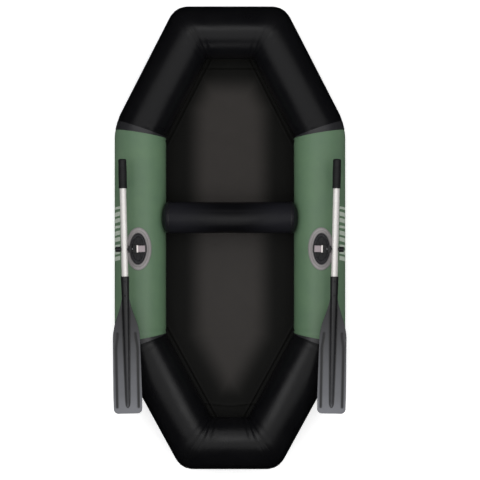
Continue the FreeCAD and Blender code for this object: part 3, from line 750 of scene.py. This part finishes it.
def wrap_uv(mesh, centre_y, centre_z, radius):
    """Lays UV round a roll along X, in metres, so that the weave keeps its scale on the blown skin."""
    spots = np.array([v.co for v in mesh.vertices])
    corner_points = np.zeros(len(mesh.loops), int)
    mesh.loops.foreach_get("vertex_index", corner_points)
    turn = np.arctan2(spots[:, 2] - centre_z, spots[:, 1] - centre_y)[corner_points].reshape(-1, 4)
    turn[(turn.max(1) - turn.min(1) > math.pi)[:, None] & (turn < 0)] += 2 * math.pi
    uv = mesh.uv_layers.new(name="surface")
    places = np.stack([spots[corner_points, 0], turn.ravel() * radius], 1)
    uv.data.foreach_set("uv", places.astype(np.float32).ravel())


class DINGHY_OT_seat(bpy.types.Operator):
    """Make the inflated roll seat"""

    bl_idname = "dinghy.seat"
    bl_label = "Seat"

    def execute(self, context):
        low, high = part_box("seat_roll")
        radius = (high.z - low.z) / 2
        centre_y, centre_z = (high.y + low.y) / 2, (high.z + low.z) / 2
        seam = high.x
        reach = 0.3225
        around = 128
        phi = np.linspace(0, 2 * math.pi, around, endpoint=False)
        stations = list(np.linspace(0, seam - 0.03, 60)) + list(np.linspace(seam - 0.028, seam, 15))
        profile = [
            (x, radius * (1 - 0.012 * bell(x, 0.10)) - 0.0016 * bell(x - seam, 0.006)) for x in stations
        ]
        rounding = 0.020
        for step in range(1, 15):
            turn = step / 14 * math.pi / 2
            along = seam + 0.002 + rounding * 0.55 * math.sin(turn)
            profile.append((along, radius - rounding * (1 - math.cos(turn))))
        shoulder_x, shoulder_r = profile[-1]
        for step in range(1, 22):
            turn = step / 22 * math.pi / 2
            along = shoulder_x + (reach - shoulder_x) * math.sin(turn)
            profile.append((along, shoulder_r * math.cos(turn) ** 0.9 + 0.0006))
        whole = [(-x, r) for x, r in profile[:0:-1]] + profile
        loops = []
        for x, r in whole:
            side = 1 if x > 0 else -1
            gap = seam - abs(x)
            dent = 0.0010 * ripple(phi * 13, 31 + side) * bell(gap, 0.022)
            dent += 0.0009 * ripple(x * 14 + phi * 2, 8) * smooth_step(gap, 0.0, 0.1)
            rr = r + dent * (r / radius)
            y = centre_y + rr * np.cos(phi)
            z = centre_z + rr * np.sin(phi)
            wall = SIDE_AXIS_X - np.sqrt(np.clip((TUBE_RADIUS + 0.0006) ** 2 - (z - AXIS_Z) ** 2, 0, None))
            xs = side * np.minimum(abs(x), wall)
            loops.append(np.stack([xs, y, z], 1))
        mesh = loops_mesh("seat_bolster", loops, smooth_angle=60)
        mesh = inflated(mesh, voxel=0.0045, most=0.003)
        wrap_uv(mesh, centre_y, centre_z, radius)
        seat = place(
            "seat_bolster", mesh, finish_named("seat_coated_pvc"), "seat", "seat_pvc",
            "seat_roll", "seat_port_end", "seat_starboard_end",
        )
        # Painted reflection: the seat's colour turns paler towards its ends.
        across = np.array([v.co.x for v in seat.data.vertices])
        shade_points(seat.data, "end_reflection", smooth_step(np.abs(across), 0.03, 0.26))
        for side, sign in SIDES.items():
            self.weld(f"{side}_seat_weld", sign * (seam - 0.004), Vector((0, centre_y, centre_z)), radius)
        return {"FINISHED"}

    def weld(self, name, x, centre, radius):
        """A band welded round the roll where its tube panel meets a domed end."""
        phi = np.linspace(0, 2 * math.pi, 128, endpoint=False)
        half = ((0.0036, 0.0010), (0.0050, 0.0003), (0.0050, -0.0012))
        section = [(-along, lift) for along, lift in half[::-1]] + [(0.0, 0.0013), *half]
        loops = []
        for along, lift in section:
            ring = radius + lift + 0.0004 * ripple(phi * 11, 4)
            y, z = centre.y + ring * np.cos(phi), centre.z + ring * np.sin(phi)
            loops.append(np.stack([np.full_like(phi, x + along), y, z], 1))
        mesh = loops_mesh(name, loops, ring=True)
        place(name, mesh, finish_named("welded_seat_band"), "seat", "seat_pvc")


# ---- oarlocks ----
def oval_loops(profile, centre, around=128):
    """Loops round an oval; a profile entry is half widths in X and Y, and a function of X to height."""
    angle = np.linspace(0, 2 * math.pi, around, endpoint=False)
    loops = []
    for half_x, half_y, height in profile:
        x = centre.x + half_x * np.cos(angle)
        y = centre.y + half_y * np.sin(angle)
        loops.append(np.stack([x, y, height(x)], 1))
    return loops


# How high a pad stands, as shares of its crest, at shares of the way from its inner edge to its outer one.
PAD_SECTION = (
    (0.0, 0.05, 0.14, 0.27, 0.40, 0.50, 0.58, 0.64, 0.72, 0.93, 0.985, 1.0),
    (0.62, 0.78, 0.94, 1.0, 0.90, 0.68, 0.42, 0.30, 0.25, 0.20, 0.13, 0.03),
)


def on_tube(lift):
    """Height of a side tube's skin plus lift, as a function of X."""
    return lambda x: AXIS_Z + np.sqrt((TUBE_RADIUS + lift) ** 2 - (np.abs(x) - SIDE_AXIS_X) ** 2)


class DINGHY_OT_oarlock_pads(bpy.types.Operator):
    """Make the soft pads, the sockets' collars and the pale covers on the swivels, which stand for painted
    reflection
    """

    bl_idname = "dinghy.oarlock_pads"
    bl_label = "Oarlock pads"

    def execute(self, context):
        for side, sign in SIDES.items():
            low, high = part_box(f"{side}_oarlock_pad")
            centre = (low + high) / 2
            half_x, half_y = (high.x - low.x) / 2, (high.y - low.y) / 2
            socket_low, socket_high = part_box(f"{side}_oarlock_socket")
            in_x = (socket_high.x - socket_low.x) / 2 + 0.0003
            in_y = (socket_high.y - socket_low.y) / 2 + 0.0003
            crest = high.z - CROWN_Z
            profile = [(in_x, in_y, on_tube(0.0003)), (in_x, in_y, on_tube(0.62 * crest))]
            # Painted light on the pad: pale on its crest, with painted shade on the slope to the socket and a
            # little at the outer edge.
            painted_pad_light = [0.0, 0.0]
            shares = np.linspace(0.01, 1, 44)
            lifts = np.interp(shares, PAD_SECTION[0], PAD_SECTION[1])
            lifts[1:-1] = (lifts[:-2] + 2 * lifts[1:-1] + lifts[2:]) / 4
            for share, lift in zip(shares, lifts):
                half = in_x + (half_x - in_x) * share, in_y + (half_y - in_y) * share
                profile.append((*half, on_tube(lift * crest)))
                painted_pad_light.append(float(smooth_step(share, 0.12, 0.42) - 0.35 * smooth_step(share, 0.62, 0.95)))
            profile.append((half_x, half_y, on_tube(0.0003)))
            painted_pad_light.append(0.5)
            mesh = loops_mesh(f"{side}_pad_rim", oval_loops(profile, centre), ring=True, smooth_angle=50)
            shade_points(mesh, "painted_pad_light", np.repeat(painted_pad_light, len(mesh.vertices) // len(painted_pad_light)))
            finish = finish_named("grey_pad_rubber")
            place(f"{side}_pad_rim", mesh, finish, "hull", "pad_rubber", f"{side}_oarlock_pad")
            self.collar(side, centre, in_x, in_y, socket_high.z)
            self.plate(side, sign)
        return {"FINISHED"}

    def collar(self, side, centre, half_x, half_y, top):
        """The grey ring that lines the mouth of the socket."""

        def level(z):
            return lambda x: np.full_like(x, z)

        inner_x, inner_y = half_x - 0.0055, half_y - 0.0125
        profile = [
            (half_x + 0.0006, half_y + 0.0006, level(top - 0.0050)),
            (half_x + 0.0006, half_y + 0.0006, level(top - 0.0012)),
            (half_x + 0.0002, half_y + 0.0002, level(top - 0.0002)),
            (half_x - 0.0008, half_y - 0.0010, level(top + 0.0002)),
            (half_x - 0.0030, half_y - 0.0055, level(top - 0.0004)),
            (inner_x + 0.0006, inner_y + 0.0012, level(top - 0.0026)),
            (inner_x, inner_y, level(top - 0.0040)),
            (inner_x, inner_y, level(top - 0.0070)),
            (inner_x + 0.0008, inner_y + 0.0008, level(top - 0.0078)),
            (half_x - 0.0008, half_y - 0.0008, level(top - 0.0060)),
        ]
        mesh = loops_mesh(f"{side}_socket_collar", oval_loops(profile, centre), ring=True, smooth_angle=60)
        place(f"{side}_socket_collar", mesh, finish_named("mauve_grey_plastic"), "hull", "pad_rubber")

    def plate(self, side, sign):
        """The pale cover on the inboard half of the swivel's arm, a painted reflection of the light, with a
        standing white bar that is a painted highlight where the arm begins to slope.
        """
        pivot = Vector(joint_named(f"{side}_oar_swing")["pos_m"])
        _, back, across = oar_axis(side)
        arm_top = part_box(f"{side}_swivel_cap")[0].z + 0.0030
        inboard = -Vector((sign * abs(across.x), sign * across.y * (1 if across.x > 0 else -1), 0.0))
        # Pale pieces painted in for the reflection on the glossy black arm and the highlight where it begins
        # to slope.
        pieces = (
            ("reflection_cover", -0.0020, 0.0345, 0.0150, 0.0030, "pale_acetal"),
            ("highlight_bar", -0.0045, 0.0030, 0.0168, 0.0046, "highlight_white_acetal"),
        )
        for name, start, end, half_width, height, finish in pieces:
            loops = []
            for reach in np.linspace(start, end, 24):
                drop = max(0.0, reach - 0.010) / 0.031 * 0.009
                from_end = min(reach - start, end - reach)
                rounding = 0.0012
                inset = rounding - math.sqrt(max(0.0, rounding ** 2 - max(0.0, rounding - from_end) ** 2))
                wide = half_width - inset
                top = height - inset * 0.8
                section = [
                    (-wide, -0.0004), (-wide, top - 0.0009),
                    (-wide + 0.0003, top - 0.0003), (-wide + 0.0011, top),
                ]
                section += [(-a, b) for a, b in section[::-1]]
                spot = pivot + inboard * reach
                loops.append([
                    (spot.x + back.x * a, spot.y + back.y * a, arm_top - drop + b) for a, b in section
                ])
            mesh = loops_mesh(f"{side}_{name}", loops, smooth_angle=30)
            place(f"{side}_{name}", mesh, finish_named(finish), f"{side}_oarlock", "pale_plastic")


class DINGHY_OT_side_bars(bpy.types.Operator):
    """Print the row of plain bars on the outboard flank of the side tubes"""

    bl_idname = "dinghy.side_bars"
    bl_label = "Side bars"

    def execute(self, context):
        for side, sign in SIDES.items():
            name = f"{side}_printed_bars"
            finish = finish_named("printed_pale_ink")
            inputs = {"Count": 9, "Spacing": -0.030, "Short share": 0.6, "Finish": finish}
            mesh = plain_mesh_of(name, bar_tree(), inputs, self.bar(name, sign))
            foremost_y = 0.142
            mesh.transform(Matrix.Translation((0.0, foremost_y, 0.0)))
            place(name, mesh, finish, "hull", "pale_plastic")
        return {"FINISHED"}

    def bar(self, name, sign):
        """One thin slanted block that lies on the tube's skin, centred on Y = 0."""
        steps = 16
        length, slant = 0.020, 0.010
        under, upper = 0.00005, 0.00030
        loops = []
        for i in range(steps + 1):
            angle = math.radians(4 + 40 * i / steps)
            section = []
            for j, lift in ((0, under), (1, under), (2, under), (2, upper), (1, upper), (0, upper)):
                radius = TUBE_RADIUS + lift
                y = length * (j / 2 - 0.5) + slant * (i / steps - 0.5)
                x = sign * (SIDE_AXIS_X + radius * math.cos(angle))
                section.append((x, y, AXIS_Z + radius * math.sin(angle)))
            loops.append(section)
        return loops_mesh(name, loops)


# ---- oars ----
def oar_axis(side):
    """The oar's pin, the direction to the blade's tip and the direction to starboard of it, for one side."""
    joint = joint_named(f"{side}_oar_dip")
    pin = Vector(joint["pos_m"])
    across = Vector(joint["axis"])
    back = across.cross(Vector((0, 0, 1))).normalized()
    return pin, back, across


# Distances back from the pin to the mouth of the blade's socket, the end of its spine and its tip.
BLADE_START, SPINE_END, BLADE_TIP = 0.127, 0.728, 0.765


def blade_half_width(back):
    """Half of the blade's width, at distances from the pin."""
    sizes = bpy.context.scene.dinghy_oars
    wide = sizes.blade_width / 2
    places = [BLADE_START, 0.236, 0.262, 0.300, 0.350, 0.396, 0.430, 0.690, BLADE_TIP]
    widths = [0.0, 0.0185, 0.0235, 0.036, 0.0535, 0.0625, 0.0635, wide, wide - 0.001]
    width = np.interp(back, places, widths)
    corner = 0.022
    into = np.clip(back - (BLADE_TIP - corner), 0, corner)
    return width - (corner - np.sqrt(np.clip(corner ** 2 - into ** 2, 0, None)))


def blade_loops(side):
    """Cross-sections of the blade, from the mouth of its socket to its tip."""
    sizes = bpy.context.scene.dinghy_oars
    pin, aft, across = oar_axis(side)
    web = sizes.blade_web / 2
    spine_root, spine_tip = 0.0195, 0.0065
    stations = np.concatenate([
        np.linspace(BLADE_START, 0.40, 60),
        np.linspace(0.404, 0.735, 84),
        np.linspace(0.738, BLADE_TIP - 0.0002, 20),
    ])
    psi = np.linspace(0, 2 * math.pi, 176, endpoint=False)
    spread = np.linspace(-0.012, 0.012, 9)
    smooth = np.array([
        blade_half_width(back + spread).mean() if back < 0.73 else blade_half_width(back) for back in stations
    ])
    loops, shades = [], []
    for back, wide in zip(stations, smooth):
        spine = spine_root + (spine_tip - spine_root) * (back - BLADE_START) / (SPINE_END - BLADE_START)
        into_end = max(0.0, back - SPINE_END + 0.02)
        spine *= math.sqrt(max(0.0, 1 - (into_end / 0.027) ** 2))
        half = max(wide, spine)
        x = half * np.cos(psi)
        edge = np.sqrt(np.clip(1 - (np.clip(np.abs(x) - (half - 0.0025), 0, None) / 0.0025) ** 2, 0, 1))
        flat = web * edge if wide > spine else np.zeros_like(x)
        round_part = np.sqrt(np.clip(spine ** 2 - x ** 2, 0, None))
        blend_width = 0.003
        closeness = np.clip(1 - np.abs(flat - round_part) / blend_width, 0, 1)
        height = np.maximum(flat, round_part) + 0.25 * blend_width * closeness ** 2 * (wide > spine + 0.004)
        outer = 0.050 - 0.0085 * smooth_step(0.470 - back, 0.0, 0.078)
        rim_length = smooth_step(back, 0.384, 0.394) * smooth_step(0.744 - back, 0.0, 0.010)
        rim = bell(np.abs(x) - outer, 0.0058) * rim_length
        beside_length = smooth_step(back, 0.262, 0.300) * smooth_step(0.742 - back, 0.0, 0.008)
        beside = bell(np.abs(x) - spine - 0.0022, 0.0030) * beside_length
        recess = np.clip(rim * 1.5, 0, 1)
        channel = np.clip(beside * 1.6, 0, 1) * (wide > spine + 0.006)
        height = height - sizes.groove_depth * recess - 0.0010 * channel * (np.abs(x) > spine * 0.86)
        # Lighter towards the tip; painted shade darkens the channels and the rim's groove, and the spine is
        # darker.
        toward_tip = smooth_step(back, 0.28, 0.74) * 0.75 + 0.25 * smooth_step(back, 0.66, 0.76)
        on_spine = np.clip((round_part - flat) / 0.004, 0, 1)
        groove_shade = (1 - 0.92 * recess) * (1 - 0.95 * channel)
        shades.append((0.10 + 0.90 * toward_tip) * groove_shade * (1 - 0.75 * on_spine))
        lift = np.where(np.sin(psi) >= 0, height, -height)
        base = np.array(pin + aft * back)
        loops.append(base + np.outer(x, np.array(across)) + np.outer(lift, (0, 0, 1)))
    return loops, np.array(shades)


def grip_loops(side):
    """Cross-sections of the sleeve on the oar's handle, a little fuller in the hand."""
    pin, aft, across = oar_axis(side)
    low, full = 0.283, 0.420
    profile = [
        (low, 0.0155), (low, 0.0186), (low + 0.0015, 0.0198), (low + 0.006, 0.0200), (low + 0.010, 0.0194),
    ]
    for step in range(1, 20):
        share = step / 20
        profile.append((low + 0.010 + share * 0.112, 0.0186 + 0.0007 * math.sin(share * math.pi)))
    for step in range(0, 13):
        turn = step / 12 * math.pi / 2
        profile.append((full - 0.009 + 0.009 * math.sin(turn), 0.0192 - 0.009 * (1 - math.cos(turn))))
    profile.append((full, 0.002))
    angle = np.linspace(0, 2 * math.pi, 64, endpoint=False)
    loops = []
    for distance, radius in profile:
        base = np.array(pin - aft * distance)
        sideways = np.outer(radius * np.cos(angle), np.array(across))
        loops.append(base + sideways + np.outer(radius * np.sin(angle), (0, 0, 1)))
    return loops


class DINGHY_OT_oars(bpy.types.Operator):
    """Make the oars' blades and grips"""

    bl_idname = "dinghy.oars"
    bl_label = "Oars"

    def execute(self, context):
        for side in SIDES:
            loops, shades = blade_loops(side)
            mesh = loops_mesh(f"{side}_blade", loops, smooth_angle=40)
            shade_points(mesh, "tip_tone_and_groove_shade", shades.ravel())
            finish = finish_named("grey_blade_polypropylene")
            place(f"{side}_blade", mesh, finish, f"{side}_oar", "blade_plastic", f"{side}_oar_blade")
            mesh = loops_mesh(f"{side}_grip_sleeve", grip_loops(side), smooth_angle=40)
            finish = finish_named("soft_grip_rubber")
            place(f"{side}_grip_sleeve", mesh, finish, f"{side}_oar", "grip_rubber", f"{side}_oar_grip")
            self.rings(context, side)
        return {"FINISHED"}

    def rings(self, context, side):
        """Raised rings moulded round the grip, repeated along it."""
        pin, aft, across = oar_axis(side)
        count = context.scene.dinghy_oars.grip_rings
        inputs = {
            "Count": count, "Spacing": 0.010, "Ring radius": 0.0192, "Ridge radius": 0.0009,
            "Finish": finish_named("soft_grip_rubber"),
        }
        mesh = plain_mesh_of(f"{side}_grip_rings", ring_tree(), inputs)
        basis = Matrix((across, -aft, Vector((0, 0, 1)))).transposed().to_4x4()
        mesh.transform(Matrix.Translation(pin - aft * 0.300) @ basis)
        place(f"{side}_grip_rings", mesh, finish_named("soft_grip_rubber"), f"{side}_oar", "grip_rubber")


def plain_mesh_of(name, tree, inputs, base=None):
    """Runs a node tree on a base mesh, or an empty one, and returns the result as a plain mesh."""
    holder = bpy.data.objects.new(name, base or bpy.data.meshes.new(name))
    bpy.context.scene.collection.objects.link(holder)
    modifier = holder.modifiers.new("build", "NODES")
    modifier.node_group = tree
    identifiers = {item.name: item.identifier for item in tree.interface.items_tree if item.in_out == "INPUT"}
    for key, value in inputs.items():
        modifier[identifiers[key]] = value
    bpy.context.view_layer.update()
    mesh = baked(holder)
    holder.modifiers.remove(modifier)
    bpy.data.objects.remove(holder)
    mesh.name = name
    return mesh


def new_tree(name, sizes):
    """A node tree that takes a geometry, the named sizes and a finish, with its inputs.
    They are None where the tree was made before."""
    found = bpy.data.node_groups.get(name)
    if found:
        return found, None
    tree = bpy.data.node_groups.new(name, "GeometryNodeTree")
    tree.interface.new_socket("Geometry", in_out="INPUT", socket_type="NodeSocketGeometry")
    for key, kind in sizes:
        tree.interface.new_socket(key, in_out="INPUT", socket_type=f"NodeSocket{kind}")
    tree.interface.new_socket("Finish", in_out="INPUT", socket_type="NodeSocketMaterial")
    tree.interface.new_socket("Geometry", in_out="OUTPUT", socket_type="NodeSocketGeometry")
    return tree, add(tree, "NodeGroupInput").outputs


def finish_tree(tree, given, made):
    """Ends a tree: copies made real, smooth, and given their finish."""
    real = add(tree, "GeometryNodeRealizeInstances", links={"Geometry": made})
    smooth = add(tree, "GeometryNodeSetShadeSmooth", links={"Geometry": real.outputs["Geometry"]})
    links = {"Geometry": smooth.outputs["Geometry"], "Material": given["Finish"]}
    painted = add(tree, "GeometryNodeSetMaterial", links=links)
    add(tree, "NodeGroupOutput", links={"Geometry": painted.outputs["Geometry"]})


def ring_tree():
    """Rings of round section in a row along Y."""
    sizes = (("Count", "Int"), ("Spacing", "Float"), ("Ring radius", "Float"), ("Ridge radius", "Float"))
    tree, given = new_tree("ring_row", sizes)
    if given is None:
        return tree
    step = add(tree, "ShaderNodeCombineXYZ", links={"Y": given["Spacing"]})
    row = add(tree, "GeometryNodeMeshLine", links={"Count": given["Count"], "Offset": step.outputs["Vector"]})
    circle = "GeometryNodeCurvePrimitiveCircle"
    path = add(tree, circle, values={"Resolution": 48}, links={"Radius": given["Ring radius"]})
    section = add(tree, circle, values={"Resolution": 8}, links={"Radius": given["Ridge radius"]})
    links = {"Curve": path.outputs["Curve"], "Profile Curve": section.outputs["Curve"]}
    ring = add(tree, "GeometryNodeCurveToMesh", links=links)
    copies = add(
        tree, "GeometryNodeInstanceOnPoints", values={"Rotation": (math.pi / 2, 0, 0)},
        links={"Points": row.outputs["Mesh"], "Instance": ring.outputs["Mesh"]},
    )
    finish_tree(tree, given, copies.outputs["Instances"])
    return tree


def bar_tree():
    """Copies of the given bar in a row along Y, every third one shorter."""
    tree, given = new_tree("bar_row", (("Count", "Int"), ("Spacing", "Float"), ("Short share", "Float")))
    if given is None:
        return tree
    step = add(tree, "ShaderNodeCombineXYZ", links={"Y": given["Spacing"]})
    row = add(tree, "GeometryNodeMeshLine", links={"Count": given["Count"], "Offset": step.outputs["Vector"]})
    number = add(tree, "GeometryNodeInputIndex")
    third = add(tree, "ShaderNodeMath", {"operation": "MODULO"}, {1: 3.0}, {0: number.outputs["Index"]})
    first = add(tree, "ShaderNodeMath", {"operation": "LESS_THAN"}, {1: 0.5}, {0: third.outputs["Value"]})
    links = {"Value": first.outputs["Value"], "To Max": given["Short share"]}
    length = add(tree, "ShaderNodeMapRange", values={"To Min": 1.0}, links=links)
    links = {"Y": length.outputs["Result"]}
    scale = add(tree, "ShaderNodeCombineXYZ", values={"X": 1.0, "Z": 1.0}, links=links)
    links = {"Points": row.outputs["Mesh"], "Instance": given["Geometry"], "Scale": scale.outputs["Vector"]}
    copies = add(tree, "GeometryNodeInstanceOnPoints", links=links)
    finish_tree(tree, given, copies.outputs["Instances"])
    return tree


# ---- carried-over pieces ----
class DINGHY_OT_hard_pieces(bpy.types.Operator):
    """Give the pieces that stay as the frame has them, most of them hard, their finishes"""

    bl_idname = "dinghy.hard_pieces"
    bl_label = "Hard pieces"

    def execute(self, context):
        finishes = {
            "oarlock_socket": "ribbed_black_nylon",
            "oarlock_swivel": "moulded_black_nylon",
            "swivel_cap": "moulded_black_nylon",
            "oar_pin": "polished_steel",
            "pin_knob": "moulded_black_nylon",
            "oar_shaft": "anodised_aluminium",
            "oar_bush": "moulded_black_nylon",
            "blade_rivets": "moulded_black_nylon",
            "bulkhead": "black_coated_pvc",
            "valve_body": "moulded_black_nylon",
            "valve_cap": "moulded_black_nylon",
            "valve_poppet": "pale_acetal",
            "valve_spring": "polished_steel",
            "valve_backing_ring": "moulded_black_nylon",
            "floor_seam_tape": "bottom_coated_pvc",
        }
        for node, thing in frame["nodes"].items():
            match = [finish for part, finish in finishes.items() if node.endswith(part)]
            if match and not thing.hide_render:
                thing.data.materials.clear()
                thing.data.materials.append(finish_named(match[0]))
        return {"FINISHED"}


class DINGHY_OT_valve_springs(bpy.types.Operator):
    """Wind the valves' springs from round wire"""

    bl_idname = "dinghy.valve_springs"
    bl_label = "Valve springs"

    def execute(self, context):
        for valve, body in {"bow": "hull", "stern": "hull", "seat": "seat"}.items():
            press = joint_named(f"{valve}_poppet_press")
            inward = np.array(Vector(press["axis"]).normalized())
            spots = np.array([v.co for v in frame["nodes"][f"{valve}_valve_spring"].data.vertices])
            middle = (spots.min(0) + spots.max(0)) / 2
            heights = (spots - middle) @ inward
            base = middle + inward * (heights.max() + heights.min()) / 2
            radial = spots - base - np.outer((spots - base) @ inward, inward)
            reach = np.linalg.norm(radial, axis=1).max()
            length = heights.max() - heights.min()
            name = f"{valve}_spring_coil"
            mesh = self.coil(name, base, inward, reach, length)
            coil = place(name, mesh, finish_named("polished_steel"), body, "steel", f"{valve}_valve_spring")
            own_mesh(coil)
        return {"FINISHED"}

    def coil(self, name, base, axis, reach, length):
        """A helix of round wire about an axis, its outer size that of the space it fits."""
        wire = 0.00038
        inputs = {
            "Turns": 2.75, "Coil radius": reach - wire * 1.1, "Height": length - 2 * wire,
            "Wire radius": wire, "Finish": finish_named("polished_steel"),
        }
        mesh = plain_mesh_of(name, coil_tree(), inputs)
        side = np.cross(axis, (0.0, 1.0, 0.0))
        side /= np.linalg.norm(side)
        other = np.cross(axis, side)
        basis = Matrix((side, other, axis)).transposed().to_4x4()
        foot = base - axis * (length / 2 - wire)
        mesh.transform(Matrix.Translation(foot) @ basis)
        return mesh


def coil_tree():
    """A helix of round wire that climbs along Z, with closed ends."""
    sizes = (("Turns", "Float"), ("Coil radius", "Float"), ("Height", "Float"), ("Wire radius", "Float"))
    tree, given = new_tree("wire_coil", sizes)
    if given is None:
        return tree
    path = add(
        tree, "GeometryNodeCurveSpiral", values={"Resolution": 36},
        links={
            "Rotations": given["Turns"], "Height": given["Height"],
            "Start Radius": given["Coil radius"], "End Radius": given["Coil radius"],
        },
    )
    links = {"Radius": given["Wire radius"]}
    section = add(tree, "GeometryNodeCurvePrimitiveCircle", values={"Resolution": 10}, links=links)
    wire = add(
        tree, "GeometryNodeCurveToMesh", values={"Fill Caps": True},
        links={"Curve": path.outputs["Curve"], "Profile Curve": section.outputs["Curve"]},
    )
    finish_tree(tree, given, wire.outputs["Mesh"])
    return tree


# ---- stage ----
class DINGHY_OT_stage(bpy.types.Operator):
    """Make the studio floor, the light and the camera"""

    bl_idname = "dinghy.stage"
    bl_label = "Stage"

    def execute(self, context):
        sizes = context.scene.dinghy_stage
        self.floor(sizes)
        self.light(context)
        self.camera(context, sizes)
        return {"FINISHED"}

    def floor(self, sizes):
        mesh = bpy.data.meshes.new("studio_floor")
        reach = 30.0
        level = -0.0008
        square = ((-reach, -reach), (reach, -reach), (reach, reach), (-reach, reach))
        mesh.from_pydata([(x, y, level) for x, y in square], [], [(0, 1, 2, 3)])
        material, _, shader = new_material("matt_studio_paper", sizes.floor_colour, 0.9, 0.1)
        shader.inputs["Emission Color"].default_value = linear(sizes.floor_colour)
        shader.inputs["Emission Strength"].default_value = sizes.floor_glow
        mesh.materials.append(material)
        floor = bpy.data.objects.new("studio_floor", mesh)
        bpy.context.scene.collection.objects.link(floor)
        floor.visible_glossy = False

    def light(self, context):
        lamps = [
            ("overhead_strip", (0.0, -0.32, 0.78), (0.30, 0.95), 1.3, True),
            ("bow_lamp", (0.0, 1.14, 1.10), (0.60, 0.17), 0.75, True),
            ("bow_fill", (0.0, 0.60, 1.00), (0.90, 0.60), 3.0, False),
            ("ceiling_panel", (0.0, 0.0, 4.0), (8.0, 4.0), 98.0, True),
        ]
        for name, where, size, power, mirrored_in_skin in lamps:
            lamp = bpy.data.lights.new(name, "AREA")
            lamp.shape = "RECTANGLE"
            lamp.size, lamp.size_y = size
            lamp.energy = power
            holder = bpy.data.objects.new(name, lamp)
            holder.location = where
            holder.visible_camera = False
            holder.visible_glossy = mirrored_in_skin
            context.scene.collection.objects.link(holder)
        world = bpy.data.worlds.new("studio")
        world.use_nodes = True
        world.node_tree.nodes.clear()
        values = {"Color": linear("ffffff"), "Strength": 0.75}
        glow = add(world.node_tree, "ShaderNodeBackground", values=values)
        add(world.node_tree, "ShaderNodeOutputWorld", links={"Surface": glow.outputs["Background"]})
        world.cycles_visibility.glossy = False
        context.scene.world = world

    def camera(self, context, sizes):
        data = bpy.data.cameras.new("camera")
        data.sensor_width = 36.0
        data.lens = data.sensor_width * sizes.camera_height / sizes.view_width
        data.clip_end = 100.0
        camera = bpy.data.objects.new("camera", data)
        camera.location = (sizes.aim_x, sizes.aim_y, AXIS_Z + sizes.camera_height)
        context.scene.collection.objects.link(camera)
        context.scene.camera = camera
        context.scene.view_settings.view_transform = "Standard"


class DINGHY_PT_panel(bpy.types.Panel):
    """Lists the dinghy's sizes and its pieces"""

    bl_label = "Dinghy"
    bl_idname = "DINGHY_PT_panel"
    bl_space_type = "VIEW_3D"
    bl_region_type = "UI"
    bl_category = "Dinghy"

    def draw(self, context):
        for group in (context.scene.dinghy_hull, context.scene.dinghy_oars, context.scene.dinghy_stage):
            box = self.layout.box()
            for key in group.bl_rna.properties.keys():
                if key not in ("rna_type", "name"):
                    box.prop(group, key)
        for maker in MAKERS:
            self.layout.operator(maker.bl_idname)


GROUPS = {"dinghy_hull": HullSizes, "dinghy_oars": OarSizes, "dinghy_stage": StageSizes}
MAKERS = [
    DINGHY_OT_stage,
    DINGHY_OT_air_tubes,
    DINGHY_OT_seam_tapes,
    DINGHY_OT_bottom,
    DINGHY_OT_seat,
    DINGHY_OT_oarlock_pads,
    DINGHY_OT_side_bars,
    DINGHY_OT_oars,
    DINGHY_OT_hard_pieces,
    DINGHY_OT_valve_springs,
]


def register():
    for cls in [*GROUPS.values(), *MAKERS, DINGHY_PT_panel]:
        bpy.utils.register_class(cls)
    for name, group in GROUPS.items():
        setattr(bpy.types.Scene, name, bpy.props.PointerProperty(type=group))


def unregister():
    for name in GROUPS:
        delattr(bpy.types.Scene, name)
    for cls in [DINGHY_PT_panel, *MAKERS[::-1], *list(GROUPS.values())[::-1]]:
        bpy.utils.unregister_class(cls)


def main():
    register()
    for maker in MAKERS:
        group, name = maker.bl_idname.split(".")
        getattr(getattr(bpy.ops, group), name)()


if __name__ == "__main__":
    main()
